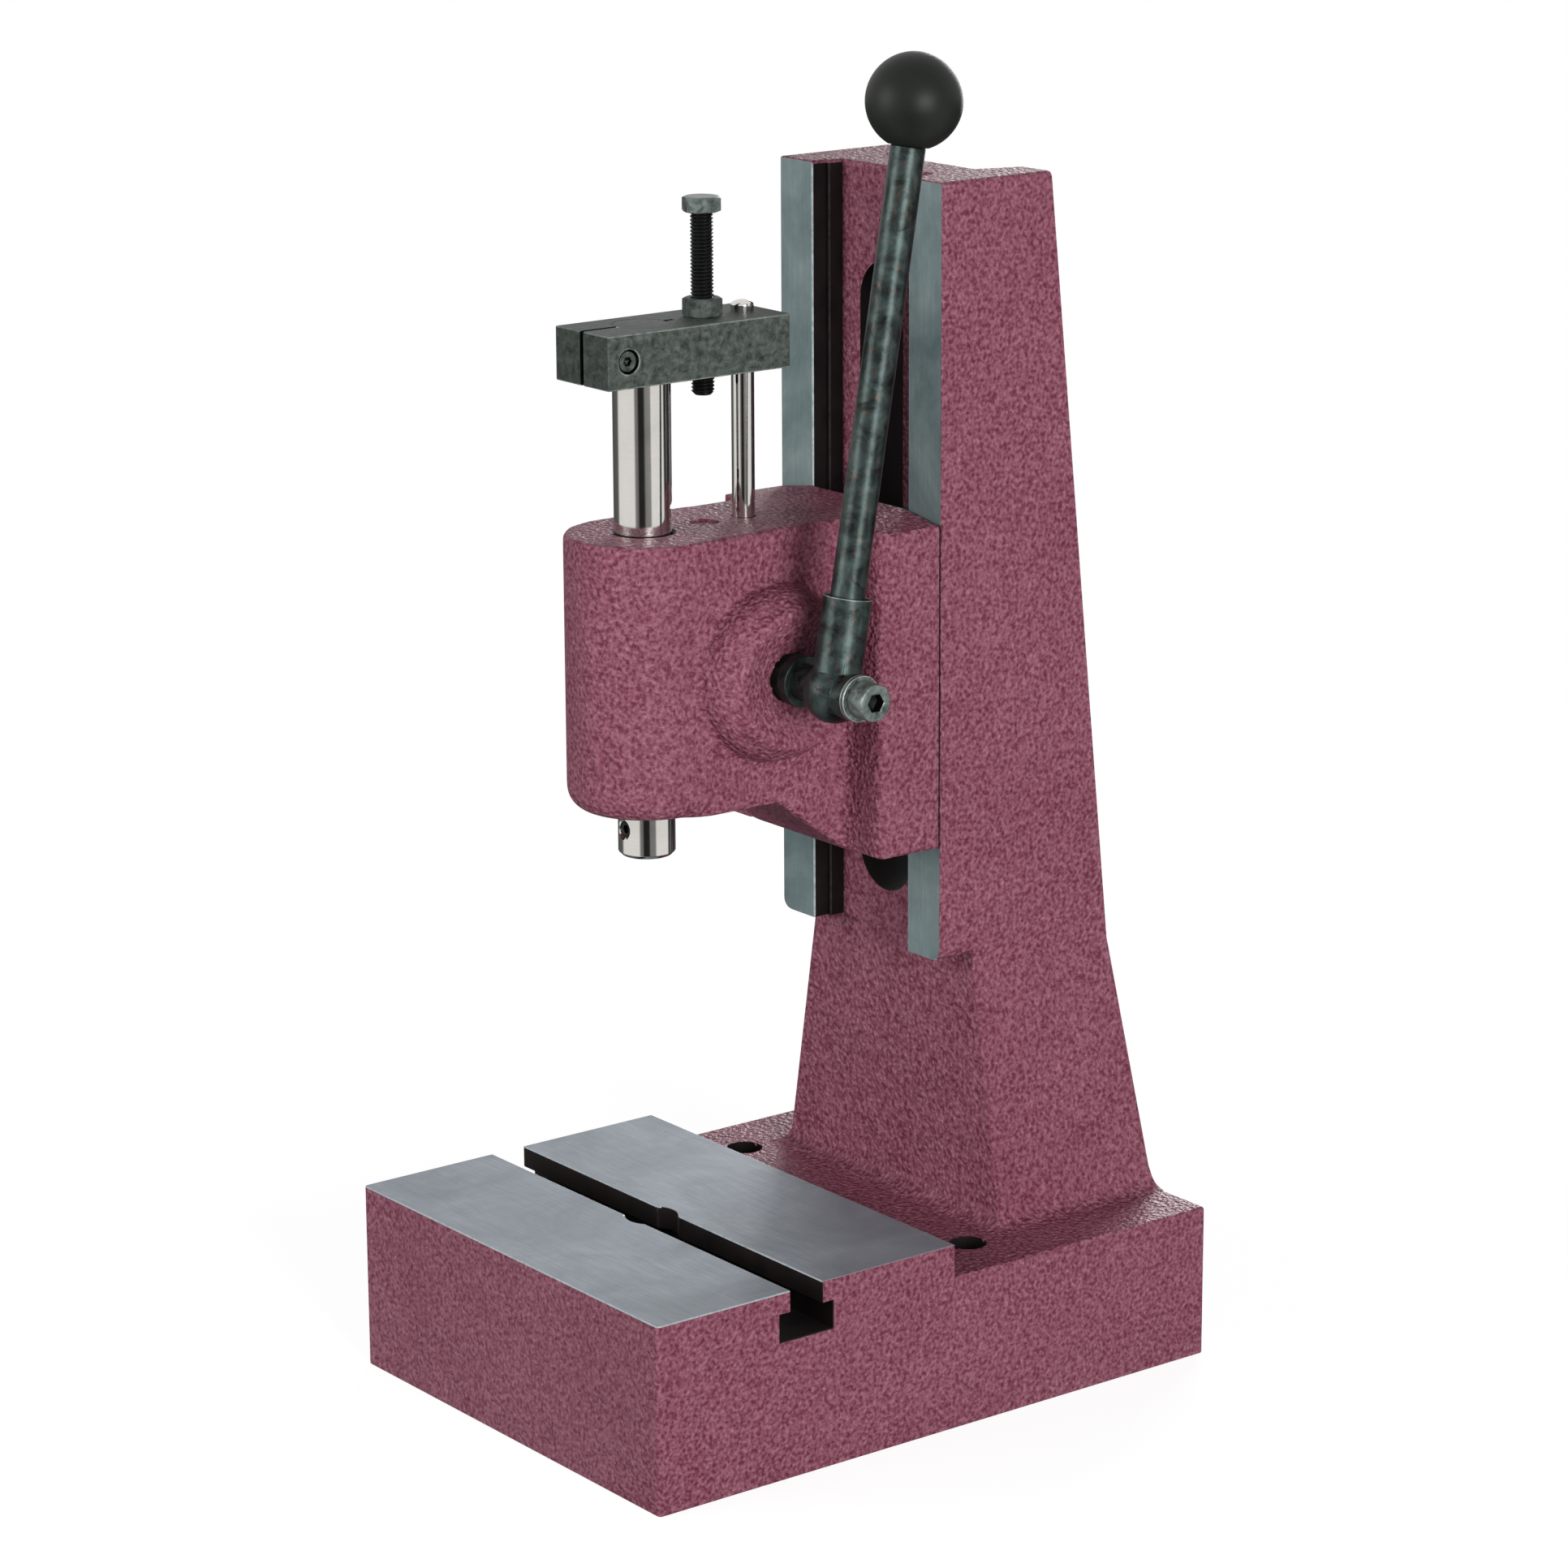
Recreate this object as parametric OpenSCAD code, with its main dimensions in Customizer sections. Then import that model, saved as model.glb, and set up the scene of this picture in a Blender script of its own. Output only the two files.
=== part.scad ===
// Rack and pinion hand press: a cast frame with a T-slotted table, a head that
// slides on the column's rails, and a lever that drives a toothed ram through a pinion.
// +Z is up, +X is the operator's right (the lever's side), -Y is the front.
// The origin is the centre of the base's footprint, on the bench. Lengths are in mm.

/* [Base] */
// Width of the base
base_w = 180; // [160:1:220]
// Depth of the base, front to back
base_d = 246; // [240:1:280]
// Height of the ground table above the bench
table_z = 68.5; // [62:0.5:90]
// Depth of the table, front edge to step
table_d = 128.5; // [115:0.5:132]
// Drop from the table to the ledge behind it
table_step = 12; // [4:0.5:16]
// Radius of the base's upright corners
base_corner_r = 1.5; // [1:0.5:6]
// Height of the hollow under the base
hollow_h = 32; // [10:1:34]
// Width of the hollow under the base
hollow_w = 100; // [60:1:110]
// Wall left at the front and back of the hollow
hollow_wall = 22; // [12:1:40]
// Radius of the hollow's upright corners
hollow_corner_r = 8; // [3:0.5:12]

/* [Table slot] */
// Width of the T-slot's neck
slot_neck_w = 14; // [8:0.5:16]
// Depth of the T-slot's neck
slot_neck_h = 8; // [5:0.5:10]
// Width of the T-slot's foot
slot_foot_w = 23; // [18:0.5:28]
// Height of the T-slot's foot
slot_foot_h = 10; // [6:0.5:11]
// Diameter of the drop-through hole under the ram
drop_hole_d = 19; // [16:0.5:22]

/* [Bench bolt holes] */
// Diameter of the two holes in the ledge
bench_hole_d = 13.5; // [9:0.5:14]
// Distance between the two holes
bench_hole_pitch = 132; // [126:1:140]
// Distance of the holes behind the table's step
bench_hole_back = 25.5; // [18:0.5:28]

/* [Column] */
// Width of the column between its parallel sides
col_w = 91; // [84:1:100]
// Height of the column's top above the bench
col_top_z = 432; // [425:1:480]
// Depth of the column's top, rail faces to back
col_top_d = 49; // [42:1:60]
// Width of the column where it meets the ledge
col_foot_w = 123; // [110:1:126]
// Height where the column's sides begin to flare
col_flare_z = 150; // [120:1:154]
// Radius of the fillet round the column's foot
foot_fillet = 7; // [3:0.5:9]
// Distance of the rail faces in front of the base's back
rail_setback = 88.5; // [86:0.5:92]
// Height of the rails' lower ends
rail_bottom_z = 155; // [140:1:156]
// Width of each ground rail face
rail_w = 18.5; // [14:0.5:20]
// Distance of the rail faces in front of the lower column
rail_proud = 15; // [13:0.5:20]
// Radius of the rails' lower outer corners
rail_corner_r = 4; // [1:0.5:8]
// Depth of the groove between the rails
groove_d = 12; // [8:0.5:13]
// Width of the small ledge half way down the groove
groove_ledge = 2; // [1:0.5:4]
// Thickness of the web behind the groove
web_t = 19.5; // [12:0.5:22]
// Width of the clamp slot through the web
clamp_slot_w = 30; // [16:1:34]
// Lower end of the clamp slot
clamp_slot_bottom_z = 169.5; // [160:0.5:172]
// Upper end of the clamp slot
clamp_slot_top_z = 399; // [396:0.5:420]
// Width of the rear channel at its floor
channel_w = 50; // [46:1:54]
// Splay of the rear channel's walls, sideways per unit of depth
channel_splay = 0.3; // [0.1:0.05:0.35]
// Height of the rear channel's lower end
channel_bottom_z = 92; // [80:1:120]

/* [Head] */
// Height of the drive shaft above the bench, as the head is set
shaft_z = 266.3; // [258:0.1:290]
// Distance from the ram's axis to the rail faces
throat = 94.5; // [92:0.5:100]
// Radius of the head's round nose
nose_r = 27.5; // [26.5:0.5:31]
// Height of the head's top above the shaft
head_rise = 49.7; // [48:0.1:56]
// Depth of the head's underside below the shaft
head_drop = 47.3; // [45:0.1:52]
// Radius of the fillet under the nose
nose_fillet = 8; // [3:0.5:10]
// Width of the head at its waist, in front of the flange
waist_w = 50; // [46:1:54]
// Radius of the hollow corner between the waist and the flange
waist_fillet = 5.5; // [4:0.5:14]
// Thickness of the flange that seats on the rails
flange_t = 27; // [24:0.5:30]
// Depth of the flange's lower end below the shaft
flange_drop = 69.3; // [66:0.1:72]
// Fall of the flange's top towards its outer edges
flange_fall = 3; // [0.5:0.5:6]
// Depth of the head's tongue in the groove between the rails
tongue_d = 5; // [3:0.5:5.5]
// Radius of the right boss at its foot
boss_r = 31; // [28:0.5:32]
// Radius of the right boss's rim
boss_rim_r = 23.5; // [20:0.5:24.5]
// Distance of the right boss's rim from the ram's axis
boss_rim_x = 43; // [41:0.5:44]
// Depth of the dish inside the right boss's rim
boss_dish = 6; // [4:0.5:7]
// Depth of the pad that the shaft's collar runs on, below the right boss's rim
boss_pad = 3; // [1:0.5:3.5]
// Distance of the left boss's face from the ram's axis
left_boss_x = 36; // [35.5:0.5:40]
// Depth of the stop bolt's landing in the head's top
landing_d = 0.8; // [0.3:0.1:2]

/* [Drive] */
// Working stroke of the ram
stroke = 45; // [30:1:46]
// Diameter of the ram
ram_d = 20; // [18:0.5:22]
// Length of the ram that shows under the nose
ram_show = 17; // [14:0.5:25]
// Diameter of the tool bore in the ram's lower end
tool_bore_d = 10; // [6:0.5:11]
// Depth of the tool bore
tool_bore_h = 24; // [18:1:40]
// Module of the teeth
tooth_module = 1.5; // [1.25:0.25:1.5]
// Number of teeth on the pinion
pinion_teeth = 37; // [35:1:38]
// Width of the pinion's teeth
pinion_w = 20; // [14:1:21]
// Depth of the flat that the rack's teeth are cut in
rack_flat_d = 1.25; // [0.75:0.25:1.75]
// Diameter of the drive shaft in its bushes
shaft_d = 16; // [14:0.5:17]

/* [Top block] */
// Width of the block clamped on the ram's top
block_w = 30.5; // [27:0.5:34]
// Length of the block
block_l = 76.5; // [74:0.5:84]
// Height of the block
block_h = 18.6; // [16:0.1:22]
// Distance of the block's front face in front of the ram's axis
block_front = 24.5; // [22:0.5:28]
// Clear height between the head's top and the block, with the ram up
block_rise = 53.2; // [50:0.1:60]
// Width of the clamping slit
slit_w = 2; // [1:0.25:3]
// Distance of the clamp screw in front of the ram's axis
block_screw_y = 15.9; // [15:0.1:18]
// Distance of the stop bolt behind the ram's axis
stop_y = 26; // [22:0.5:28]
// Length of the stop bolt under its head
stop_len = 63; // [50:0.5:80]
// Diameter of the stop bolt
stop_d = 8; // [6:0.5:9]
// Width across the flats of the stop bolt's head and its nut
stop_across = 12; // [11:0.5:13.5]
// Distance of the guide pin behind the ram's axis
guide_y = 43; // [39:0.5:45]
// Diameter of the guide pin
guide_d = 8; // [6:0.5:9]
// Height of the guide pin's tip above the block
guide_show = 4; // [2:0.1:8]

/* [Lever] */
// Lean of the lever behind upright, in degrees, with the ram up
lever_lean = 9.8; // [0:0.1:12]
// Distance from the shaft to the centre of the knob
lever_r = 200; // [150:1:205]
// Diameter of the lever rod
rod_d = 12; // [10:0.5:13]
// Diameter of the ball knob
knob_d = 33; // [25:0.5:34]
// Radius of the hub's ball
hub_r = 11; // [10.5:0.1:12]
// Diameter of the hub's sleeve
sleeve_d = 17; // [16:0.5:19]
// Height of the sleeve's rim above the shaft
sleeve_rim = 32.5; // [26:0.5:45]
// Diameter of the collar beside the boss
collar_d = 18; // [17:0.5:19]
// Thickness of the collar
collar_t = 4.9; // [3:0.1:5.5]
// Length of the bare neck between the collar and the hub
neck_len = 8.8; // [5:0.1:9.5]
// Diameter of the neck
neck_d = 13; // [12:0.5:14]

/* [Head clamp] */
// Diameter of the two clamp studs
stud_d = 12; // [8:0.5:14]
// Height between the two clamp studs
stud_pitch = 70; // [60:1:76]
// Depth of the upper stud's axis below the head's top
stud_drop = 25; // [20:0.5:30]
// Width of the clamp bar
bar_w = 40; // [32:1:44]
// Thickness of the clamp bar
bar_t = 8; // [5:0.5:10]

/* [Hidden] */
// Clearances
press_gap = 0.01;
run_gap = 0.04;
slide_gap = 0.05;
free_gap = 0.3;
tooth_gap = 0.12;
cut = 1;
$fn = 96;

// Colours
paint = "#7e3f55";
polished = "#c9cac8";
blackened = "#3c4341";
bolt_steel = "#6d7674";
bronze = "#b08a4a";
black = "#1b1b1c";
brass = "#c2a04e";

// Frame levels and planes
ledge_z = table_z - table_step;
table_back_y = table_d - base_d / 2;
bench_hole_y = table_back_y + bench_hole_back;
rail_y = base_d / 2 - rail_setback;
lower_front_y = rail_y + rail_proud;
groove_step_y = rail_y + groove_d / 2;
groove_floor_y = rail_y + groove_d;
web_back_y = groove_floor_y + web_t;
col_back_y = rail_y + col_top_d;
rail_x0 = col_w / 2 - rail_w;
foot_z = ledge_z + foot_fillet;
flare = (col_foot_w - col_w) / 2 / (col_flare_z - ledge_z);
foot_x = col_w / 2 + flare * (col_flare_z - foot_z);

// Head levels and planes
ram_y = rail_y - throat;
head_top_z = shaft_z + head_rise;
nose_bottom_z = shaft_z - head_drop;
flange_bottom_z = shaft_z - flange_drop;
flange_back_y = rail_y - slide_gap;
flange_front_y = rail_y - flange_t;
tongue_hw = rail_x0 - 2 * slide_gap;
waist_y = flange_front_y - waist_fillet;
flange_corner_r = 3;
tongue_inset = 8;
runout_angle = 20;
runout_drop = 0.1;

// Right boss, from its upright side to the dish inside its rim
boss_rise = 5;
boss_slope = 9;
boss_dish_x = boss_rim_x - boss_dish;
boss_pad_x = boss_rim_x - boss_pad;
boss_shoulder_x = boss_rim_x - boss_rise;
boss_side_x = boss_shoulder_x - boss_slope;
boss_round = 2;
rim_round = 1.4;
dish_gap = 0.6;
pad_step = 1.2;

// Rack and pinion
pressure_angle = 20;
root_share = 1.25;
pitch_r = tooth_module * pinion_teeth / 2;
tip_r = pitch_r + tooth_module;
root_r = pitch_r - root_share * tooth_module;
base_r = pitch_r * cos(pressure_angle);
rack_tip_y = ram_d / 2 - rack_flat_d;
rack_pitch_y = rack_tip_y - tooth_module;
rack_root_y = rack_pitch_y - root_share * tooth_module;
shaft_y = ram_y + rack_pitch_y + pitch_r;
pinion_reach = sqrt(pow(tip_r, 2) - pow(shaft_y - ram_y - ram_d / 2, 2)) + 2 * free_gap;
rack_bottom_z = shaft_z - pinion_reach;
rack_top_z = shaft_z + stroke + pinion_reach;
tooth_pitch = PI * tooth_module;
slope_y = shaft_y + 3;

// Gear chamber in the head, from its closed right end to the cover on the left
chamber_gap = 0.75;
gear_side_gap = 2;
chamber_r = tip_r + chamber_gap;
chamber_x1 = pinion_w / 2 + gear_side_gap;
cover_t = 8;
cover_lip = 2;
cover_recess = 3;
clip_t = 1.4;
clip_bite = 1.4;
clip_wall = 3.6;
cover_r = chamber_r + cover_lip;
cover_x1 = cover_recess - left_boss_x;
cover_x2 = cover_x1 + cover_t;
clip_r = cover_r + clip_bite;
left_boss_r = clip_r + clip_wall;
bush_wall = 2;
bush_cap = 4;
bush_r = shaft_d / 2 + bush_wall;
bush_x1 = boss_pad_x - bush_cap;
gear_hub_wall = 3;
gear_hub_r = shaft_d / 2 + gear_hub_wall;
gear_hub_x0 = cover_x2 + free_gap;
gear_hub_x1 = chamber_x1 - free_gap;
key_w = 5;
key_seat = 3;
key_margin = 2;
key_z0 = shaft_d / 2 - key_seat;
key_z1 = key_z0 + key_w;
key_l = pinion_w - 2 * key_margin;

// Return spring, a flat strip wound round the pinion's hub
strip_t = 0.8;
spring_margin = 2.6;
spring_x0 = gear_hub_x0 + spring_margin;
spring_x1 = -pinion_w / 2 - spring_margin;
spring_r0 = gear_hub_r + free_gap + strip_t / 2;
spring_turns = 4;
anchor_r = 1.5;
anchor_wall = 1.6;
anchor_floor = 2;
spring_r1 = chamber_r - 2 * anchor_r - anchor_wall;
anchor_y = spring_r1 + strip_t / 2 + free_gap / 2 + anchor_r;
tab_l = 2;

// Ram, block and stop
ram_bottom_z = nose_bottom_z - ram_show;
block_bottom_z = head_top_z + block_rise;
block_top_z = block_bottom_z + block_h;
block_mid_z = block_bottom_z + block_h / 2;
tool_screw_rise = 10;
tool_screw_d = 6;
tool_screw_sink = 1;
tool_screw_gap = 0.4;
tool_key = 3;
tool_screw_z = ram_bottom_z + tool_screw_rise;
stop_tip_z = head_top_z - landing_d + stroke + free_gap;
stop_head_z = stop_tip_z + stop_len;
guide_seat = 16;
landing_r = 5;
thread_pitch = 1.25;
thread_h = 0.55;
thread_start = 1.5;
stop_head_h = 5.3;
lock_nut_h = 6.5;
block_screw_d = 4;
block_screw_head_d = 7;
block_screw_key = 3;
block_screw_sink = 0.6;
cbore_gap = 0.7;
slit_past = 4;
cbore_x = block_w / 2 - block_screw_d - block_screw_sink;

// Shaft end and lever hub
collar_x0 = boss_pad_x + free_gap;
collar_x1 = collar_x0 + collar_t;
taper_x0 = collar_x1 + neck_len;
hub_reach = 7.5;
taper_reach = 4;
taper_fall = 0.8;
hub_x = taper_x0 + hub_reach;
taper_x1 = hub_x + taper_reach;
taper_r1 = neck_d / 2 - taper_fall;
seat_r = 8;
seat_reach = 13;
seat_x = hub_x + seat_reach;
washer_t = 1.6;
cap_d = 8;
cap_head_d = 13;
cap_head_h = 8;
cap_key = 6;
cap_hole_gap = 0.2;
cap_x = seat_x + washer_t;
cap_grip = 2;
cap_reach = cap_x - taper_x0 + cap_grip;
shaft_chamfer = 0.6;
socket_depth = 18.5;
socket_z = sleeve_rim - socket_depth;
rim_recess = 2;
rim_wall = 0.8;
rod_chamfer = 1;
knob_flat_d = 1.5;
knob_seat_z = lever_r - knob_d / 2 + knob_flat_d;
rod_thread_r = rod_d / 2 - 1;
rod_thread_l = 13;
insert_d = rod_d - 0.2;
insert_l = rod_thread_l + 3;

// Head clamp
stud_z1 = head_top_z - stud_drop;
stud_z0 = stud_z1 - stud_pitch;
stud_seat = 20;
bar_y0 = web_back_y + slide_gap;
bar_margin = 15;
clamp_washer_t = 2.5;
clamp_nut_h = 10;
clamp_nut_across = 1.58 * stud_d;
stud_past = 2;
bar_corner_r = 4;
washer_y0 = bar_y0 + bar_t;
nut_y0 = washer_y0 + clamp_washer_t;
stud_y0 = flange_back_y + tongue_d - stud_seat;
stud_y1 = nut_y0 + clamp_nut_h + stud_past;

// Points on an arc, from angle a0 to angle a1
function arc(c, r, a0, a1, n = 8) =
  [for (i = [0:n]) let (a = a0 + (a1 - a0) * i / n) [c[0] + r * cos(a), c[1] + r * sin(a)]];

// An outline's right half, followed by its mirror image
function both_sides(half) =
  concat(half, [for (i = [len(half) - 1:-1:0]) [-half[i][0], half[i][1]]]);

// Half angle of a pinion tooth at radius r, from the involute of the base circle
function involute(a) = tan(a) * 180 / PI - a;
function tooth_half(r) =
  90 / pinion_teeth + involute(pressure_angle) - involute(acos(base_r / r))
  - tooth_gap / pitch_r * 45 / PI;

// Radii along a tooth's flank, from the base circle to the tip
flank_steps = 4;
function flank_r(i) = base_r + (tip_r - base_r) * i / flank_steps;
function polar(r, a) = [r * cos(a), r * sin(a)];
function tooth(a) = concat(
  [polar(root_r, a - tooth_half(base_r))],
  [for (i = [0:flank_steps]) polar(flank_r(i), a - tooth_half(flank_r(i)))],
  [for (i = [flank_steps:-1:0]) polar(flank_r(i), a + tooth_half(flank_r(i)))],
  [polar(root_r, a + tooth_half(base_r))]
);

// A rectangle with rounded corners
module rounded_rect(w, d, r) {
  x = w / 2 - r;
  y = d / 2 - r;
  polygon(concat(
    arc([x, y], r, 0, 90), arc([-x, y], r, 90, 180),
    arc([-x, -y], r, 180, 270), arc([x, -y], r, 270, 360)
  ));
}

// An outline in Y and Z, extruded along X
module across(x0, x1) {
  translate([x0, 0, 0]) rotate([90, 0, 90]) linear_extrude(x1 - x0) children();
}

// An outline in X and Z, extruded along Y
module along(y0, y1) {
  translate([0, y1, 0]) rotate([90, 0, 0]) linear_extrude(y1 - y0) children();
}

// A box between two corners
module span(low, high) {
  translate(low) cube(high - low);
}

// A round bar along X on the drive shaft's axis
module shaft_bar(r, x0, x1) {
  translate([x0, shaft_y, shaft_z]) rotate([0, 90, 0]) cylinder(r = r, h = x1 - x0);
}

// A turned shape about the drive shaft's axis, from points of radius and X
module shaft_turned(points) {
  translate([0, shaft_y, shaft_z]) rotate([0, 90, 0]) rotate_extrude() polygon(points);
}

// A round bar along Y
module bar_y(r, x, z, y0, y1) {
  translate([x, y0, z]) rotate([-90, 0, 0]) cylinder(r = r, h = y1 - y0);
}

// The lever's own frame: its Z runs from the shaft's axis up the lever
module on_lever() {
  translate([hub_x, shaft_y, shaft_z]) rotate([-lever_lean, 0, 0]) children();
}

// A hexagon with its outer corners turned off at both ends
module hexagon(across_flats, h) {
  corner_r = across_flats / 2 / cos(30);
  fall = (corner_r - across_flats / 2) * tan(30) * 1.2;
  intersection() {
    cylinder(r = corner_r, h = h, $fn = 6);
    rotate_extrude()
      polygon([
        [0, 0], [across_flats / 2, 0], [corner_r, fall],
        [corner_r, h - fall], [across_flats / 2, h], [0, h]
      ]);
  }
}

// A socket head cap screw with its head on +Z
module cap_screw(d, reach, head_d, head_h, socket_across) {
  chamfer = head_d / 16;
  difference() {
    union() {
      rotate_extrude()
        polygon([
          [0, 0], [head_d / 2, 0], [head_d / 2, head_h - chamfer],
          [head_d / 2 - chamfer, head_h], [0, head_h]
        ]);
      translate([0, 0, -reach]) cylinder(d = d, h = reach + head_h / 4);
    }
    translate([0, 0, head_h / 2])
      cylinder(d = socket_across / cos(30), h = head_h, $fn = 6);
  }
}

// Base and column: one casting, kept as three nodes that meet on level planes,
// so that each one's collision can follow its own hollows

module base_outline() {
  rounded_rect(base_w, base_d, base_corner_r);
}

module bench_holes() {
  for (x = [-1, 1] * bench_hole_pitch / 2)
    translate([x, bench_hole_y, -cut]) cylinder(d = bench_hole_d, h = ledge_z + 2 * cut);
}

module column_core() {
  sides = both_sides(concat(
    arc([foot_x + foot_fillet, foot_z], foot_fillet, 270, 180),
    [[col_w / 2, col_flare_z], [col_w / 2, col_top_z]]
  ));
  profile = concat(
    arc([lower_front_y - foot_fillet, foot_z], foot_fillet, 270, 360),
    [[lower_front_y, col_top_z], [col_back_y, col_top_z], [base_d / 2, ledge_z]]
  );
  intersection() {
    along(lower_front_y - foot_fillet, base_d / 2) polygon(sides);
    across(-base_w / 2, base_w / 2) polygon(profile);
  }
}

module rail() {
  corner = [col_w / 2 - rail_corner_r, rail_bottom_z + rail_corner_r];
  face = concat(
    [[rail_x0, rail_bottom_z]],
    arc(corner, rail_corner_r, 270, 360),
    [[col_w / 2, col_top_z], [rail_x0, col_top_z]]
  );
  along(rail_y, lower_front_y + cut) polygon(face);
  span([rail_x0 - groove_ledge, groove_step_y, rail_bottom_z], [rail_x0, lower_front_y, col_top_z]);
}

module clamp_slot() {
  r = clamp_slot_w / 2;
  z0 = clamp_slot_bottom_z + r;
  z1 = clamp_slot_top_z - r;
  for (z = [z0, z1]) bar_y(r, 0, z, groove_floor_y - cut, web_back_y + cut);
  span([-r, groove_floor_y - cut, z0], [r, web_back_y + cut, z1]);
}

module rear_channel() {
  reach = base_d / 2 + cut - web_back_y;
  w0 = channel_w / 2;
  w1 = w0 + channel_splay * reach;
  translate([0, web_back_y, channel_bottom_z])
    linear_extrude(col_top_z - channel_bottom_z + cut)
      polygon([[-w0, 0], [w0, 0], [w1, reach], [-w1, reach]]);
}

module table_slot() {
  foot_z1 = table_z - slot_neck_h;
  foot_z0 = foot_z1 - slot_foot_h;
  span([-base_w, ram_y - slot_neck_w / 2, foot_z0], [base_w, ram_y + slot_neck_w / 2, table_z + cut]);
  span([-base_w, ram_y - slot_foot_w / 2, foot_z0], [base_w, ram_y + slot_foot_w / 2, foot_z1]);
}

module base_plinth() {
  color(paint)
    difference() {
      linear_extrude(hollow_h) base_outline();
      translate([0, 0, -cut])
        linear_extrude(hollow_h + 2 * cut)
          rounded_rect(hollow_w, base_d - 2 * hollow_wall, hollow_corner_r);
      bench_holes();
    }
}

module table_bed() {
  color(paint)
    difference() {
      translate([0, 0, hollow_h]) linear_extrude(table_z - hollow_h) base_outline();
      span([-base_w, table_back_y, ledge_z], [base_w, base_d, table_z + cut]);
      table_slot();
      translate([0, ram_y, hollow_h - cut]) cylinder(d = drop_hole_d, h = table_z);
      bench_holes();
    }
}

module column() {
  color(paint)
    difference() {
      union() {
        column_core();
        for (side = [0, 1]) mirror([side, 0, 0]) rail();
        span([-rail_x0, groove_floor_y, rail_bottom_z], [rail_x0, lower_front_y + cut, col_top_z]);
      }
      clamp_slot();
      rear_channel();
    }
}

// Head casting

// The lower corner of the nose's outline, rounded
function nose_corner(z) = arc([nose_r - nose_fillet, z + nose_fillet], nose_fillet, 270, 360);

// Front half of the round nose
module nose() {
  translate([0, ram_y, 0])
    rotate([0, 0, 180])
      rotate_extrude(angle = 180)
        polygon(concat(
          [[0, nose_bottom_z]], nose_corner(nose_bottom_z), [[nose_r, head_top_z], [0, head_top_z]]
        ));
}

// What the nose's lower fillet takes off the body's edge, running out towards the back.
// It sits a hair low, so that its facets stay clear of the nose's own.
module fillet_runout() {
  corner = [for (p = nose_corner(0)) [p[0], p[1] * cos(runout_angle)]];
  outline = concat(corner, [
    [nose_r + cut, nose_fillet * cos(runout_angle)],
    [nose_r + cut, -nose_fillet], [corner[0][0], -nose_fillet]
  ]);
  translate([0, ram_y, nose_bottom_z - runout_drop])
    rotate([-runout_angle, 0, 0])
      along(-nose_fillet, 2 * nose_fillet / sin(runout_angle)) polygon(outline);
}

module head_body() {
  plan = both_sides(concat(
    [[nose_r, ram_y]],
    arc([waist_w / 2 + waist_fillet, waist_y], waist_fillet, 180, 90),
    arc([col_w / 2 - flange_corner_r, flange_front_y + flange_corner_r], flange_corner_r, 270, 360, 4),
    [[col_w / 2, flange_back_y]]
  ));
  profile = [
    [ram_y, nose_bottom_z], [slope_y, nose_bottom_z],
    [flange_front_y, flange_bottom_z], [flange_back_y, flange_bottom_z],
    [flange_back_y, head_top_z], [ram_y, head_top_z]
  ];
  top = both_sides([
    [col_w / 2, flange_bottom_z], [col_w / 2, head_top_z - flange_fall], [rail_x0, head_top_z]
  ]);
  difference() {
    intersection() {
      translate([0, 0, flange_bottom_z]) linear_extrude(head_top_z - flange_bottom_z) polygon(plan);
      across(-col_w / 2, col_w / 2) polygon(profile);
      along(ram_y, flange_back_y) polygon(top);
    }
    for (side = [0, 1]) mirror([side, 0, 0]) fillet_runout();
  }
}

module right_boss() {
  shaft_turned([
    [0, chamber_x1], [boss_r, chamber_x1], [boss_r, boss_side_x],
    [boss_r - boss_round, boss_shoulder_x - boss_round], [boss_r - 2 * boss_round, boss_shoulder_x],
    [boss_rim_r + rim_round, boss_rim_x - rim_round / 2], [boss_rim_r, boss_rim_x],
    [boss_rim_r - rim_round, boss_rim_x - rim_round / 2],
    [collar_d / 2 + dish_gap, boss_dish_x], [collar_d / 2 - pad_step, boss_dish_x],
    [collar_d / 2 - pad_step, boss_pad_x], [0, boss_pad_x]
  ]);
}

module press_head() {
  color(paint)
    difference() {
      union() {
        nose();
        head_body();
        right_boss();
        shaft_bar(left_boss_r, -left_boss_x, 0);
        span(
          [-tongue_hw, flange_back_y - cut, flange_bottom_z + tongue_inset],
          [tongue_hw, flange_back_y + tongue_d, head_top_z - tongue_inset]
        );
      }
      shaft_bar(chamber_r, cover_x2 - cut, chamber_x1);
      shaft_bar(cover_r + slide_gap, -left_boss_x - cut, cover_x2);
      shaft_bar(clip_r + free_gap / 2, cover_x1 - clip_t - slide_gap, cover_x1);
      shaft_bar(bush_r, chamber_x1 - cut, bush_x1);
      shaft_bar(shaft_d / 2 + free_gap, bush_x1 - cut, boss_rim_x);
      translate([0, ram_y, nose_bottom_z - cut])
        cylinder(r = ram_d / 2 + run_gap, h = head_top_z - nose_bottom_z + 2 * cut);
      translate([0, ram_y + stop_y, head_top_z - landing_d]) cylinder(r = landing_r, h = landing_d + cut);
      translate([0, ram_y + guide_y, head_top_z - guide_seat])
        cylinder(r = guide_d / 2 + press_gap, h = guide_seat + cut);
      for (z = [stud_z0, stud_z1])
        bar_y(stud_d / 2 + press_gap, 0, z, stud_y0, flange_back_y + tongue_d + cut);
    }
}

module guide_pin() {
  seat_z = head_top_z - guide_seat;
  tip_z = block_top_z + guide_show;
  r = guide_d / 2;
  chamfer = 0.5;
  dome = 1.8;
  color(polished)
    translate([0, ram_y + guide_y, 0])
      rotate_extrude()
        polygon([
          [0, seat_z], [r - chamfer, seat_z], [r, seat_z + chamfer], [r, tip_z - dome],
          [r * 0.92, tip_z - dome * 0.5], [r * 0.7, tip_z - dome * 0.15], [r * 0.35, tip_z], [0, tip_z]
        ]);
}

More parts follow.
